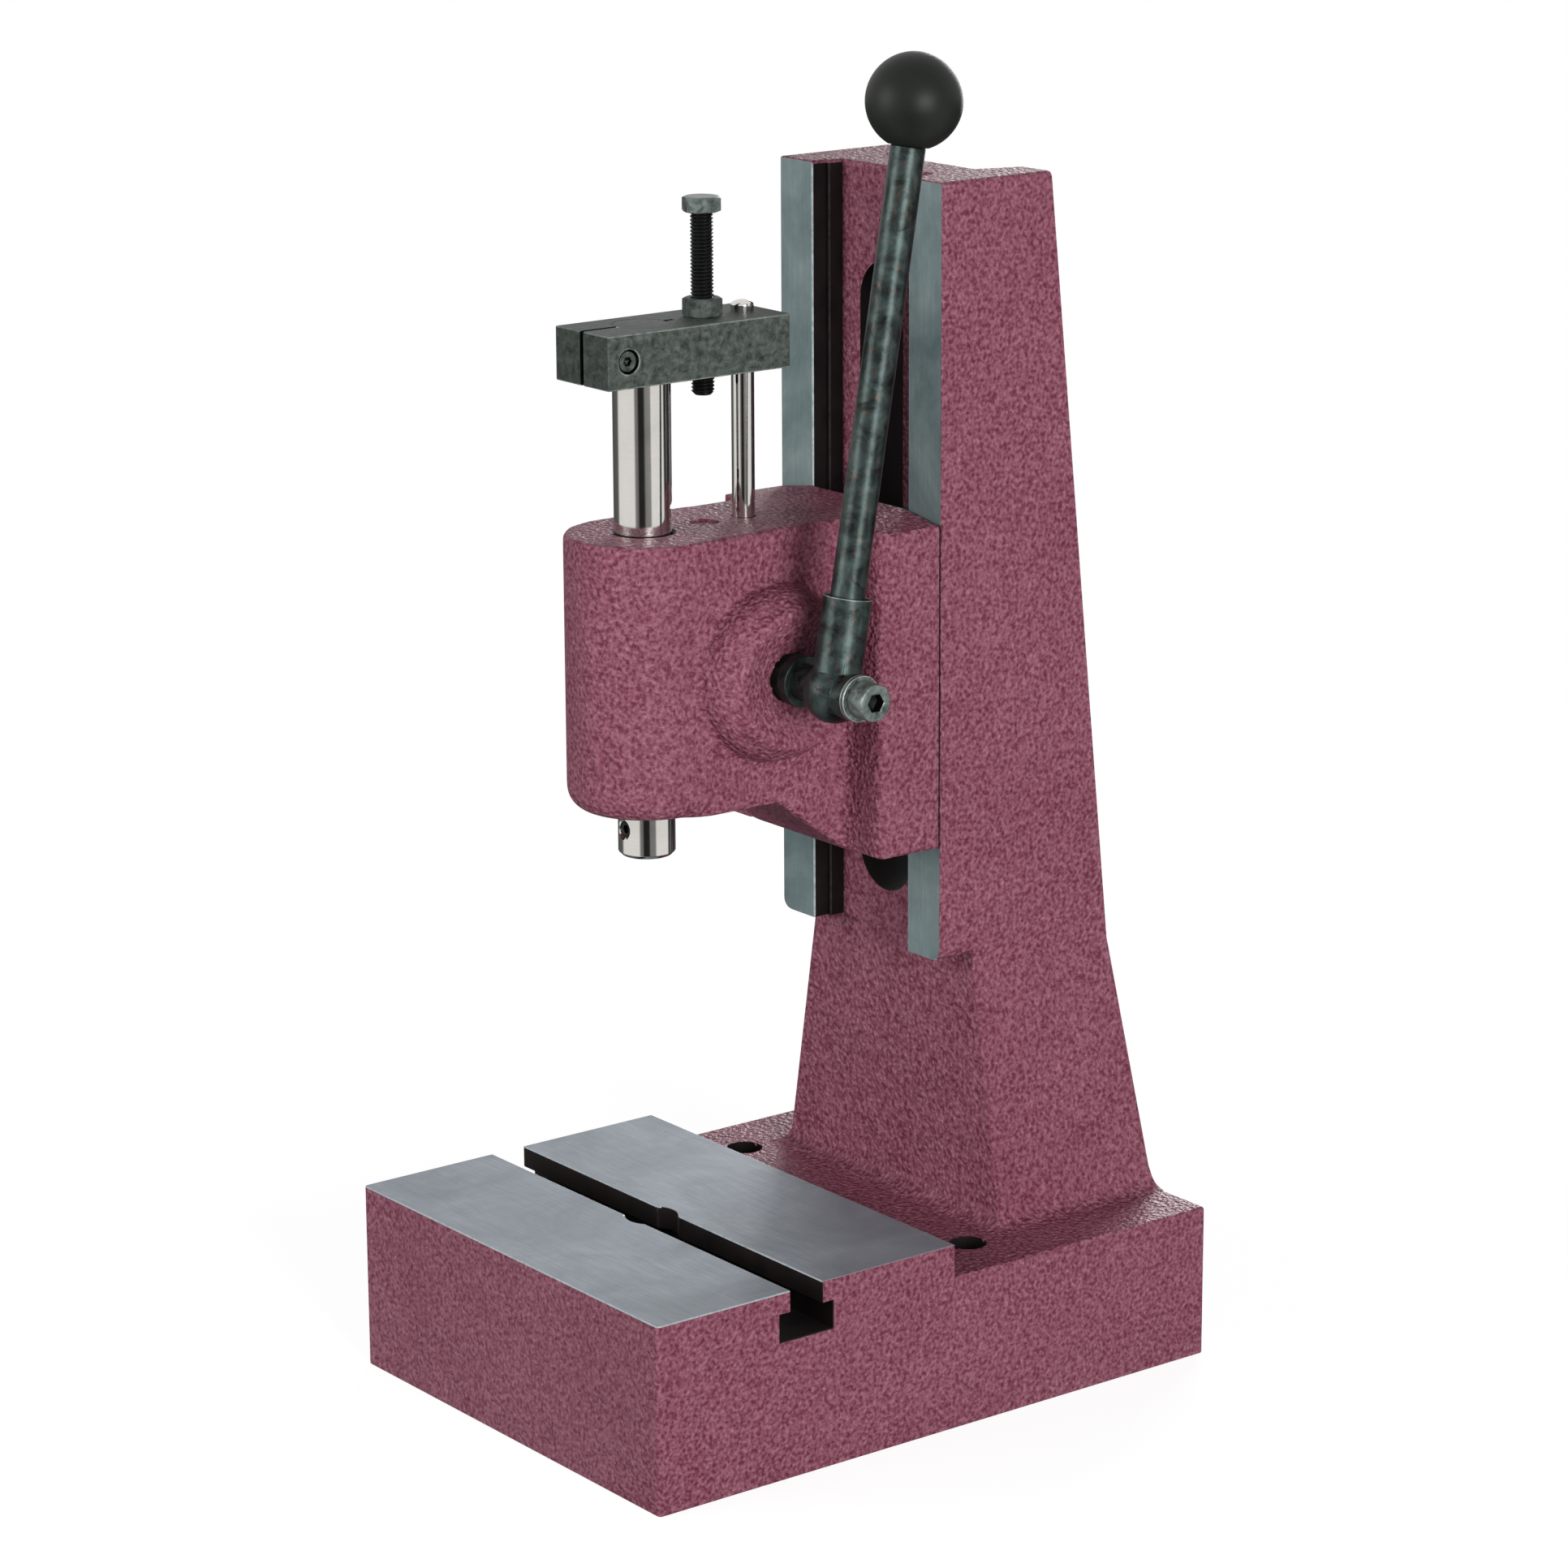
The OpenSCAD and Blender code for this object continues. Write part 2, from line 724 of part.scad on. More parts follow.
// Head clamp behind the column

module clamp_studs() {
  color(bolt_steel)
    for (z = [stud_z0, stud_z1]) bar_y(stud_d / 2, 0, z, stud_y0, stud_y1);
}

module clamp_bar() {
  color(blackened)
    difference() {
      translate([0, 0, (stud_z0 + stud_z1) / 2])
        along(bar_y0, bar_y0 + bar_t) rounded_rect(bar_w, stud_pitch + 2 * bar_margin, bar_corner_r);
      for (z = [stud_z0, stud_z1]) bar_y(stud_d / 2 + free_gap, 0, z, bar_y0 - cut, bar_y0 + bar_t + cut);
    }
}

module clamp_washers() {
  color(bolt_steel)
    for (z = [stud_z0, stud_z1])
      difference() {
        bar_y(stud_d, 0, z, washer_y0, nut_y0);
        bar_y(stud_d / 2 + free_gap, 0, z, washer_y0 - cut, nut_y0 + cut);
      }
}

module clamp_nuts() {
  color(bolt_steel)
    for (z = [stud_z0, stud_z1])
      difference() {
        translate([0, nut_y0, z]) rotate([-90, 0, 0]) hexagon(clamp_nut_across, clamp_nut_h);
        bar_y(stud_d / 2 + press_gap, 0, z, nut_y0 - cut, nut_y0 + clamp_nut_h + cut);
      }
}

// Drive shaft bearings and return spring

module bush(x0, x1) {
  color(bronze)
    difference() {
      shaft_bar(bush_r - press_gap, x0, x1);
      shaft_bar(shaft_d / 2 + run_gap, x0 - cut, x1 + cut);
    }
}

module shaft_bush_right() {
  bush(chamber_x1, bush_x1);
}

module shaft_bush_left() {
  bush(cover_x1, cover_x2);
}

module bearing_cover() {
  color(blackened)
    difference() {
      shaft_bar(cover_r, cover_x1, cover_x2);
      shaft_bar(bush_r, cover_x1 - cut, cover_x2 + cut);
      translate([0, 0, anchor_y]) shaft_bar(anchor_r + press_gap, cover_x1 + anchor_floor, cover_x2 + cut);
    }
}

module cover_circlip() {
  lug_a = 8;
  lug_r = 2.4;
  lug_hole_r = 1;
  mouth = 3;
  inner_r = cover_r - lug_r - 0.6;
  lug_y = inner_r - lug_hole_r / 2;
  x0 = cover_x1 - clip_t;
  color(bolt_steel)
    difference() {
      union() {
        difference() {
          shaft_bar(clip_r, x0, cover_x1);
          shaft_bar(inner_r, x0 - cut, cover_x1 + cut);
        }
        for (a = [-lug_a, lug_a])
          translate([0, lug_y * sin(a), -lug_y * cos(a)]) shaft_bar(lug_r, x0, cover_x1);
      }
      for (a = [-lug_a, lug_a])
        translate([0, lug_y * sin(a), -lug_y * cos(a)]) shaft_bar(lug_hole_r, x0 - cut, cover_x1 + cut);
      translate([0, shaft_y, shaft_z])
        span([x0 - cut, -mouth / 2, -clip_r - cut], [cover_x1 + cut, mouth / 2, 2 * lug_r - inner_r]);
    }
}

module spring_anchor() {
  color(bolt_steel)
    translate([0, 0, anchor_y]) shaft_bar(anchor_r, cover_x1 + anchor_floor, spring_x1 + free_gap);
}

module return_spring() {
  steps = 24 * spring_turns;
  function centre_r(i) = spring_r0 + (spring_r1 - spring_r0) * i / steps;
  function turn(i) = 90 - 360 * spring_turns * (1 - i / steps);
  strip = concat(
    [for (i = [0:steps]) polar(centre_r(i) + strip_t / 2, turn(i))],
    [for (i = [steps:-1:0]) polar(centre_r(i) - strip_t / 2, turn(i))]
  );
  color(bolt_steel)
    translate([0, shaft_y, shaft_z])
      across(spring_x0, spring_x1)
        union() {
          polygon(strip);
          translate([-strip_t / 2, spring_r0 - tab_l]) square([strip_t, tab_l]);
        }
}

// Lever, drive shaft and pinion, which turn together

module drive_shaft() {
  end_x = cover_x1 - 1;
  color(polished)
    difference() {
      shaft_turned([
        [0, end_x], [shaft_d / 2 - shaft_chamfer, end_x],
        [shaft_d / 2, end_x + shaft_chamfer], [shaft_d / 2, collar_x0],
        [neck_d / 2, collar_x0], [neck_d / 2, taper_x0], [taper_r1, taper_x1], [0, taper_x1]
      ]);
      shaft_bar(cap_d / 2 + press_gap, cap_x - cap_reach - cap_grip, taper_x1 + cut);
      translate([0, shaft_y, shaft_z])
        span([-key_l / 2, -key_w / 2, key_z0], [key_l / 2, key_w / 2, shaft_d]);
    }
}

module pinion_gear() {
  slit = strip_t + 2 * free_gap;
  color(bolt_steel)
    difference() {
      union() {
        translate([0, shaft_y, shaft_z])
          across(-pinion_w / 2, pinion_w / 2)
            polygon([
              for (k = [0:pinion_teeth - 1])
                each tooth(180 + (k + 0.5) * 360 / pinion_teeth)
            ]);
        shaft_bar(gear_hub_r, gear_hub_x0, gear_hub_x1);
      }
      shaft_bar(shaft_d / 2 + press_gap, gear_hub_x0 - cut, gear_hub_x1 + cut);
      translate([0, shaft_y, shaft_z]) {
        span(
          [-key_l / 2 - press_gap, -key_w / 2 - press_gap, 0],
          [key_l / 2 + press_gap, key_w / 2 + press_gap, key_z1 + free_gap]
        );
        span([spring_x0 - free_gap, -slit / 2, 0], [spring_x1 + free_gap, slit / 2, gear_hub_r + cut]);
      }
    }
}

module drive_key() {
  color(bolt_steel)
    translate([0, shaft_y, shaft_z])
      span(
        [-key_l / 2 + press_gap, -key_w / 2 + press_gap, key_z0 + press_gap],
        [key_l / 2 - press_gap, key_w / 2 - press_gap, key_z1]
      );
}

module shaft_collar() {
  edge = 1.2;
  r = collar_d / 2;
  color(blackened)
    difference() {
      shaft_turned([
        [0, collar_x0], [r - edge, collar_x0], [r, collar_x0 + edge],
        [r, collar_x1 - edge], [r - edge, collar_x1], [0, collar_x1]
      ]);
      shaft_bar(neck_d / 2 + press_gap, collar_x0 - cut, collar_x1 + cut);
    }
}

module lever_hub() {
  color(blackened)
    difference() {
      union() {
        translate([hub_x, shaft_y, shaft_z]) sphere(r = hub_r);
        shaft_bar(seat_r, hub_x, seat_x);
        on_lever() cylinder(d = sleeve_d, h = sleeve_rim);
      }
      shaft_bar(neck_d, taper_x0 - hub_r, taper_x0);
      shaft_turned([
        [0, taper_x0 - cut], [neck_d / 2 + press_gap, taper_x0 - cut],
        [neck_d / 2 + press_gap, taper_x0], [taper_r1 + press_gap, taper_x1],
        [taper_r1 + press_gap, taper_x1 + cut], [0, taper_x1 + cut]
      ]);
      shaft_bar(cap_d / 2 + cap_hole_gap, hub_x, seat_x + cut);
      on_lever() translate([0, 0, socket_z]) cylinder(r = rod_d / 2 + press_gap, h = sleeve_rim);
      on_lever()
        translate([0, 0, sleeve_rim - rim_recess])
          cylinder(r1 = rod_d / 2 + 2 * free_gap, r2 = sleeve_d / 2 - rim_wall, h = rim_recess + press_gap);
    }
}

module hub_washer() {
  color(bolt_steel)
    difference() {
      shaft_bar(seat_r, seat_x, cap_x);
      shaft_bar(cap_d / 2 + cap_hole_gap, seat_x - cut, cap_x + cut);
    }
}

module hub_screw() {
  color(bolt_steel)
    translate([cap_x, shaft_y, shaft_z])
      rotate([0, 90, 0]) cap_screw(cap_d, cap_reach, cap_head_d, cap_head_h, cap_key);
}

module lever_rod() {
  r = rod_d / 2;
  thread_end = knob_seat_z + rod_thread_l;
  color(blackened)
    on_lever()
      rotate_extrude()
        polygon([
          [0, socket_z], [r - rod_chamfer, socket_z], [r, socket_z + rod_chamfer], [r, knob_seat_z],
          [rod_thread_r, knob_seat_z], [rod_thread_r, thread_end], [0, thread_end]
        ]);
}

module knob_insert() {
  color(brass)
    on_lever()
      translate([0, 0, knob_seat_z])
        difference() {
          cylinder(d = insert_d, h = insert_l);
          translate([0, 0, -cut]) cylinder(r = rod_thread_r + press_gap, h = rod_thread_l + free_gap + cut);
        }
}

module ball_knob() {
  color(black)
    on_lever()
      difference() {
        translate([0, 0, lever_r]) sphere(d = knob_d);
        translate([0, 0, knob_seat_z - knob_d]) cylinder(d = knob_d, h = knob_d);
        translate([0, 0, knob_seat_z - cut]) cylinder(d = insert_d + 2 * press_gap, h = insert_l + cut);
      }
}

// Ram, top block and stop

module rack_gap(z) {
  half = tooth_pitch / 4 + tooth_gap / 4;
  slope = tan(pressure_angle);
  root_hw = half - (rack_pitch_y - rack_root_y) * slope;
  tip_hw = half + (rack_tip_y - rack_pitch_y) * slope;
  polygon([
    [rack_root_y, z - root_hw], [rack_tip_y, z - tip_hw], [ram_d, z - tip_hw],
    [ram_d, z + tip_hw], [rack_tip_y, z + tip_hw], [rack_root_y, z + root_hw]
  ]);
}

module ram() {
  r = ram_d / 2;
  edge = 1.5;
  gaps_down = floor((shaft_z - rack_bottom_z) / tooth_pitch);
  gaps_up = floor((rack_top_z - shaft_z) / tooth_pitch);
  color(polished)
    difference() {
      translate([0, ram_y, 0])
        difference() {
          rotate_extrude()
            polygon([
              [0, ram_bottom_z], [r - edge, ram_bottom_z], [r, ram_bottom_z + edge],
              [r, block_top_z], [0, block_top_z]
            ]);
          span([-r, rack_tip_y, rack_bottom_z], [r, ram_d, rack_top_z]);
          across(-r - cut, r + cut)
            for (k = [-gaps_down:gaps_up - 1]) rack_gap(shaft_z + (k + 0.5) * tooth_pitch);
          translate([0, 0, ram_bottom_z - cut]) cylinder(d = tool_bore_d, h = tool_bore_h + cut);
        }
      bar_y(tool_screw_d / 2 + press_gap, 0, tool_screw_z, ram_y - ram_d, ram_y);
    }
}

module top_block() {
  y0 = ram_y - block_front;
  edge = 0.4;
  color(blackened)
    difference() {
      translate([0, y0 + block_l / 2, block_bottom_z])
        linear_extrude(block_h) rounded_rect(block_w, block_l, edge);
      translate([0, ram_y, block_bottom_z - cut])
        cylinder(r = ram_d / 2 + press_gap, h = block_h + 2 * cut);
      span(
        [-slit_w / 2, y0 - cut, block_bottom_z - cut],
        [slit_w / 2, ram_y + ram_d / 2 + slit_past, block_top_z + cut]
      );
      translate([0, ram_y + stop_y, block_bottom_z - cut])
        cylinder(r = stop_d / 2 + run_gap, h = block_h + 2 * cut);
      translate([0, ram_y + guide_y, block_bottom_z - cut])
        cylinder(r = guide_d / 2 + run_gap, h = block_h + 2 * cut);
      translate([0, ram_y - block_screw_y, block_mid_z])
        rotate([0, 90, 0]) {
          translate([0, 0, -block_w]) cylinder(r = block_screw_d / 2 + press_gap, h = 2 * block_w);
          translate([0, 0, cbore_x]) cylinder(d = block_screw_head_d + 2 * cbore_gap, h = block_w);
        }
    }
}

module block_screw() {
  reach = cbore_x + block_w / 2 - 2 * block_screw_sink;
  color(black)
    translate([cbore_x, ram_y - block_screw_y, block_mid_z])
      rotate([0, 90, 0])
        cap_screw(block_screw_d, reach, block_screw_head_d, block_screw_d, block_screw_key);
}

module lock_nut() {
  color(bolt_steel)
    translate([0, ram_y + stop_y, block_top_z])
      difference() {
        hexagon(stop_across, lock_nut_h);
        translate([0, 0, -cut]) cylinder(r = stop_d / 2 + run_gap, h = lock_nut_h + 2 * cut);
      }
}

module tool_screw() {
  outer_y = ram_y - ram_d / 2 + tool_screw_sink;
  inner_y = ram_y - tool_bore_d / 2 - tool_screw_gap;
  color(black)
    difference() {
      bar_y(tool_screw_d / 2, 0, tool_screw_z, outer_y, inner_y);
      translate([0, outer_y - cut, tool_screw_z])
        rotate([-90, 0, 0]) cylinder(d = tool_key / cos(30), h = cut + tool_key / 2, $fn = 6);
    }
}

// Threaded shank as a row of ridges, with a plain tip
module stop_bolt() {
  r = stop_d / 2;
  root = r - thread_h;
  ridge_z = stop_tip_z + thread_start;
  turns = floor((stop_len - 2 * thread_start) / thread_pitch);
  ridges = [
    for (k = [0:turns - 1])
      each [[root, ridge_z + k * thread_pitch], [r, ridge_z + (k + 0.5) * thread_pitch]]
  ];
  color(black)
    translate([0, ram_y + stop_y, 0]) {
      rotate_extrude()
        polygon(concat(
          [[0, stop_tip_z], [root - cut, stop_tip_z], [root, stop_tip_z + cut]],
          ridges,
          [[root, stop_head_z], [root, stop_head_z + cut], [0, stop_head_z + cut]]
        ));
      translate([0, 0, stop_head_z]) hexagon(stop_across, stop_head_h);
    }
}

base_plinth();
table_bed();
column();
press_head();
guide_pin();
clamp_studs();
clamp_bar();
clamp_washers();
clamp_nuts();
shaft_bush_right();
shaft_bush_left();
bearing_cover();
cover_circlip();
spring_anchor();
return_spring();
drive_shaft();
pinion_gear();
drive_key();
shaft_collar();
lever_hub();
hub_washer();
hub_screw();
lever_rod();
knob_insert();
ball_knob();
ram();
top_block();
block_screw();
lock_nut();
tool_screw();
stop_bolt();
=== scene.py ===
import math

import bmesh
import bpy
from mathutils import Matrix, Vector


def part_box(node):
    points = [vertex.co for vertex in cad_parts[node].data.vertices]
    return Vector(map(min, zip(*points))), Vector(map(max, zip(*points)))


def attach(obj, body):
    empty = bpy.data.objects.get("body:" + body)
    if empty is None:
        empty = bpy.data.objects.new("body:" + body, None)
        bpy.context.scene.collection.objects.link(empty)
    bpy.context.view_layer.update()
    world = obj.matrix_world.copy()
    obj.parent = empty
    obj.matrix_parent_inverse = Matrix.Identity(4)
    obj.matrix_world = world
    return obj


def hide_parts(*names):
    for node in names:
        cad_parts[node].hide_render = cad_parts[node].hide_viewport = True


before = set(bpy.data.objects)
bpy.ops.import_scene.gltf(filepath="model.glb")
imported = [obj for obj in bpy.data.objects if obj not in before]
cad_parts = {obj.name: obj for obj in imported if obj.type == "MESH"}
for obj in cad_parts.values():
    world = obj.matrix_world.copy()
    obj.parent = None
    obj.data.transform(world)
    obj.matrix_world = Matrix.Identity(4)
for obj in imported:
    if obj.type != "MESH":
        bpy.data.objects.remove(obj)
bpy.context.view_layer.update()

# Sizes below are in millimetres, in the part's own frame, unless a name says otherwise.
MM = 0.001


def ends(node, axis):
    """Where a CAD node starts and ends along an axis."""
    return [getattr(corner, axis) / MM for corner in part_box(node)]


def middle_of(node):
    low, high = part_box(node)
    return (low + high) / 2 / MM


def place_on(node, axis, share):
    """A place along a CAD node, from 0 at its low end to 1 at its high end, to 0.1 mm."""
    low, high = ends(node, axis)
    return round(low + (high - low) * share, 1)


# Places that the pieces share
RAM_Y = place_on("ram", "y", 0.5)
STOP_Y = place_on("stop_bolt", "y", 0.5)
GUIDE_Y = place_on("guide_pin", "y", 0.5)
SHAFT = Vector((0.0, place_on("drive_shaft", "y", 0.5), place_on("drive_shaft", "z", 0.5)))
HUB_X = place_on("lever_rod", "x", 0.5)
LEVER_LEAN = math.radians(9.8)
SEAM_Z = place_on("base_plinth", "z", 1)
TABLE_Z = place_on("table_bed", "z", 1)
TABLE_BACK_Y = 5.5
LEDGE_Z = place_on("column", "z", 0)
COLUMN_TOP_Z = place_on("column", "z", 1)
COLUMN_FOOT_X = place_on("column", "x", 1)
COLUMN_SIDE_X = 43.4
RAIL_Y = place_on("column", "y", 0)
RAIL_INNER_X = 27.0
RAIL_BOTTOM_Z = 155.0
GROOVE_FLOOR_Y = 46.5
LOWER_FRONT_Y = 49.5
HEAD_TOP_Z = place_on("press_head", "z", 1)
NOSE_BOTTOM_Z = 219.0
RAM_RADIUS = 10.0
PIN_RADIUS = 4.0

# How edges are told apart and rounded. The broad flat is in square metres.
SHARP_ANGLE = math.radians(28)
FLAT_ANGLE = math.radians(0.2)
LEAST_BEND = 0.01
TOUCH = 0.05
BROAD_FLAT = 0.0004
ROUNDING_SEGMENTS = 3
RING_STEPS = 96


# Node helpers

def feed(tree, node, inputs):
    """Gives a node's inputs plain values, or links them to sockets."""
    for key, value in inputs.items():
        if isinstance(value, bpy.types.NodeSocket):
            tree.links.new(value, node.inputs[key])
        else:
            node.inputs[key].default_value = value


def add(tree, kind, inputs=None, **settings):
    node = tree.nodes.new(kind)
    for key, value in settings.items():
        setattr(node, key, value)
    feed(tree, node, inputs or {})
    return node


def maths(tree, operation, a, b=0.0, c=0.0):
    node = add(tree, "ShaderNodeMath", {0: a, 1: b, 2: c}, operation=operation)
    return node.outputs[0]


def mixed(tree, factor, a, b):
    node = add(tree, "ShaderNodeMix", {0: factor, 6: a, 7: b}, data_type="RGBA")
    return node.outputs[2]


def remap(tree, value, low, high, to_low=0.0, to_high=1.0):
    """Value from low..high to to_low..to_high, held at both ends."""
    node = add(tree, "ShaderNodeMapRange", {0: value, 1: low, 2: high, 3: to_low, 4: to_high})
    return node.outputs[0]


def srgb(red, green, blue):
    """A colour written as 0 to 255, as the linear colour that a socket takes."""
    def linear(c):
        c = c / 255
        return c / 12.92 if c <= 0.04045 else ((c + 0.055) / 1.055) ** 2.4
    return (linear(red), linear(green), linear(blue), 1.0)


def new_group(family, name, inputs, outputs):
    """A node group with (name, kind, default) inputs and (name, kind) outputs, and its two ends."""
    tree = bpy.data.node_groups.new(name, family + "NodeTree")
    for label, kind, default in inputs:
        socket = tree.interface.new_socket(label, in_out="INPUT", socket_type="NodeSocket" + kind)
        if default is not None:
            socket.default_value = default
    for label, kind in outputs:
        tree.interface.new_socket(label, in_out="OUTPUT", socket_type="NodeSocket" + kind)
    start = tree.nodes.new("NodeGroupInput")
    end = tree.nodes.new("NodeGroupOutput")
    return tree, start.outputs, end


def object_place(tree):
    return add(tree, "ShaderNodeTexCoord").outputs["Object"]


def noise(tree, place, scale, detail, roughness=0.5, distortion=0.0):
    node = add(tree, "ShaderNodeTexNoise", {
        "Vector": place, "Scale": scale, "Detail": detail, "Roughness": roughness, "Distortion": distortion,
    })
    return node.outputs["Fac"]


# Shared surface effects

def make_hammer_group():
    """A hammered enamel's pebbles: their height, a tone that is high on the crowns, and slow clouds."""
    tree, given, end = new_group(
        "Shader", "hammered_enamel",
        [("Pebbles", "Float", 520.0), ("Cloud Scale", "Float", 26.0)],
        [("Height", "Float"), ("Tone", "Float"), ("Cloud", "Float")],
    )
    place = object_place(tree)
    pebbles = add(
        tree, "ShaderNodeTexVoronoi",
        {"Vector": place, "Scale": given["Pebbles"], "Smoothness": 0.7, "Randomness": 1.0},
        feature="SMOOTH_F1",
    )
    swell = noise(tree, place, maths(tree, "MULTIPLY", given["Pebbles"], 1.3), 2.0, 0.6)
    cloud = noise(tree, place, given["Cloud Scale"], 3.0)
    crown = remap(tree, pebbles.outputs["Distance"], 0.05, 0.6, 1.0, 0.0)
    uneven = remap(tree, swell, 0.3, 0.7)
    height = maths(tree, "ADD", maths(tree, "MULTIPLY", crown, 0.6), maths(tree, "MULTIPLY", uneven, 0.4))
    tone = maths(tree, "ADD", maths(tree, "MULTIPLY", crown, 0.35), maths(tree, "MULTIPLY", uneven, 0.65))
    feed(tree, end, {
        "Height": height, "Tone": remap(tree, tone, 0.1, 0.9), "Cloud": remap(tree, cloud, 0.3, 0.7),
    })
    return tree


def make_lines_group():
    """Fine lines left by a grinding wheel or a lathe tool, stains of handling, and small rust spots."""
    tree, given, end = new_group(
        "Shader", "machining_lines",
        [("Stretch", "Vector", (60.0, 60.0, 60.0)), ("Stain Scale", "Float", 30.0)],
        [("Lines", "Float"), ("Stain", "Float"), ("Spots", "Float")],
    )
    place = object_place(tree)
    drawn = add(tree, "ShaderNodeVectorMath", {0: place, 1: given["Stretch"]}, operation="MULTIPLY")
    lines = noise(tree, drawn.outputs[0], 1.0, 3.0, 0.6)
    stain = noise(tree, place, given["Stain Scale"], 5.0, 0.65, 0.5)
    spots = noise(tree, place, maths(tree, "MULTIPLY", given["Stain Scale"], 2.7), 4.0, 0.7)
    feed(tree, end, {
        "Lines": remap(tree, lines, 0.3, 0.7), "Stain": remap(tree, stain, 0.32, 0.68),
        "Spots": remap(tree, spots, 0.56, 0.7),
    })
    return tree


def make_wear_group():
    """Where an edge's coating has rubbed through, broken up by a fine noise."""
    tree, given, end = new_group(
        "Shader", "rubbed_edges",
        [("Edge", "Float", 0.0), ("Amount", "Float", 0.6), ("Break Scale", "Float", 300.0)],
        [("Rub", "Float")],
    )
    breaks = noise(tree, object_place(tree), given["Break Scale"], 3.0, 0.65)
    patchy = remap(tree, breaks, 0.35, 0.6, 0.35, 1.0)
    rub = maths(tree, "MULTIPLY", maths(tree, "MULTIPLY", given["Edge"], given["Amount"]), patchy)
    feed(tree, end, {"Rub": rub})
    return tree


HAMMER = make_hammer_group()
LINES = make_lines_group()
WEAR = make_wear_group()


# Finishes

def new_finish(name):
    material = bpy.data.materials.new(name)
    material.use_nodes = True
    tree = material.node_tree
    shader = tree.nodes["Principled BSDF"]
    return material, tree, shader


def use_group(tree, group, **inputs):
    named = {key.replace("_", " "): value for key, value in inputs.items()}
    return add(tree, "ShaderNodeGroup", named, node_tree=group).outputs


def bump(tree, height, strength, distance):
    node = add(tree, "ShaderNodeBump", {"Height": height, "Strength": strength, "Distance": distance})
    return node.outputs[0]


def make_hammer_paint():
    material, tree, shader = new_finish("maroon_hammer_enamel")
    dimples = use_group(tree, HAMMER)
    low = mixed(tree, dimples["Cloud"], srgb(103, 42, 62), srgb(110, 49, 68))
    high = mixed(tree, dimples["Cloud"], srgb(172, 113, 131), srgb(179, 121, 138))
    feed(tree, shader, {
        "Base Color": mixed(tree, dimples["Tone"], low, high),
        "Roughness": remap(tree, dimples["Tone"], 0.0, 1.0, 0.5, 0.38),
        "Specular IOR Level": 0.1,
        "Normal": bump(tree, dimples["Height"], 1.0, 0.0011),
    })
    return material


def make_steel(
    name, dark, light, worn, rough, metallic, stretch=(90.0, 90.0, 90.0), stains=60.0, line_depth=0.1,
    line_share=0.4, breaks=350.0, rust=0.0, rough_by="Stain", specular=0.15,
):
    """A steel finish of two tones, with lines, stains, rubbed edges and a little rust."""
    material, tree, shader = new_finish(name)
    dark, light, worn = srgb(*dark), srgb(*light), srgb(*worn)
    marks = use_group(tree, LINES, Stretch=stretch, Stain_Scale=stains)
    edge = add(tree, "ShaderNodeAttribute", attribute_name="edge").outputs["Fac"]
    rub = use_group(tree, WEAR, Edge=edge, Amount=0.7, Break_Scale=breaks)["Rub"]
    tones = mixed(tree, marks["Stain"], dark, light)
    lined = mixed(tree, maths(tree, "MULTIPLY", marks["Lines"], line_share), tones, dark)
    spotted = mixed(tree, maths(tree, "MULTIPLY", marks["Spots"], rust), lined, srgb(98, 66, 52))
    feed(tree, shader, {
        "Base Color": mixed(tree, rub, spotted, worn),
        "Roughness": remap(tree, marks[rough_by], 0.0, 1.0, *rough),
        "Metallic": metallic,
        "Specular IOR Level": specular,
        "Normal": bump(tree, marks["Lines"], line_depth, 0.00005),
    })
    return material


def make_ground_steel(name, dark, light, stretch):
    """Steel with the lines of a grinding wheel and bright edges."""
    return make_steel(
        name, dark, light, (190, 198, 200), (0.4, 0.54), 0.35, stretch=stretch, stains=26.0,
        line_depth=0.15, line_share=0.45, breaks=500.0, rough_by="Lines", specular=0.2)


def make_knob_plastic():
    material, tree, shader = new_finish("black_satin_plastic")
    marks = use_group(tree, LINES, Stretch=(900.0, 900.0, 900.0), Stain_Scale=40.0)
    feed(tree, shader, {
        "Base Color": mixed(tree, marks["Stain"], srgb(20, 23, 20), srgb(28, 31, 27)),
        "Roughness": remap(tree, marks["Stain"], 0.0, 1.0, 0.44, 0.5),
        "Specular IOR Level": 0.18,
        "Normal": bump(tree, marks["Lines"], 0.05, 0.0001),
    })
    return material


PAINT = make_hammer_paint()
TABLE_STEEL = make_ground_steel(
    "ground_table_steel", (128, 136, 143), (162, 170, 179), stretch=(60.0, 1500.0, 400.0))
RAIL_STEEL = make_ground_steel(
    "ground_rail_steel", (92, 110, 112), (146, 160, 160), stretch=(1500.0, 400.0, 45.0))
# Near black: painted shade in the casting's holes, slots and bores, and along the head's joint to its
# rails.
HOLLOW_AND_JOINT_SHADE = make_steel("dark_machined_iron", (16, 11, 12), (32, 24, 25), (60, 54, 54), (0.55, 0.7), 0.2)
POLISHED = make_steel(
    "polished_steel", (206, 203, 198), (222, 219, 214), (230, 229, 226), (0.06, 0.1), 1.0,
    stretch=(40.0, 40.0, 2600.0), stains=25.0, line_depth=0.006)
BLACKENED = make_steel(
    "blackened_steel", (38, 45, 41), (106, 114, 109), (156, 163, 158), (0.5, 0.65), 0.0,
    stretch=(260.0, 260.0, 900.0), stains=330.0, line_depth=0.5, rust=0.2)
# A darker copy of the blackened steel: painted shade for the clamp block's front face.
FRONT_FACE_SHADE = make_steel(
    "blackened_sawn_end", (26, 32, 28), (78, 86, 80), (120, 127, 122), (0.5, 0.65), 0.0,
    stretch=(260.0, 260.0, 900.0), stains=330.0, line_depth=0.5)
LEVER_STEEL = make_steel(
    "blackened_lever_steel", (14, 18, 17), (72, 85, 83), (170, 177, 173), (0.3, 0.42), 0.65,
    stretch=(420.0, 420.0, 70.0), stains=150.0, line_depth=0.25, rust=0.45)
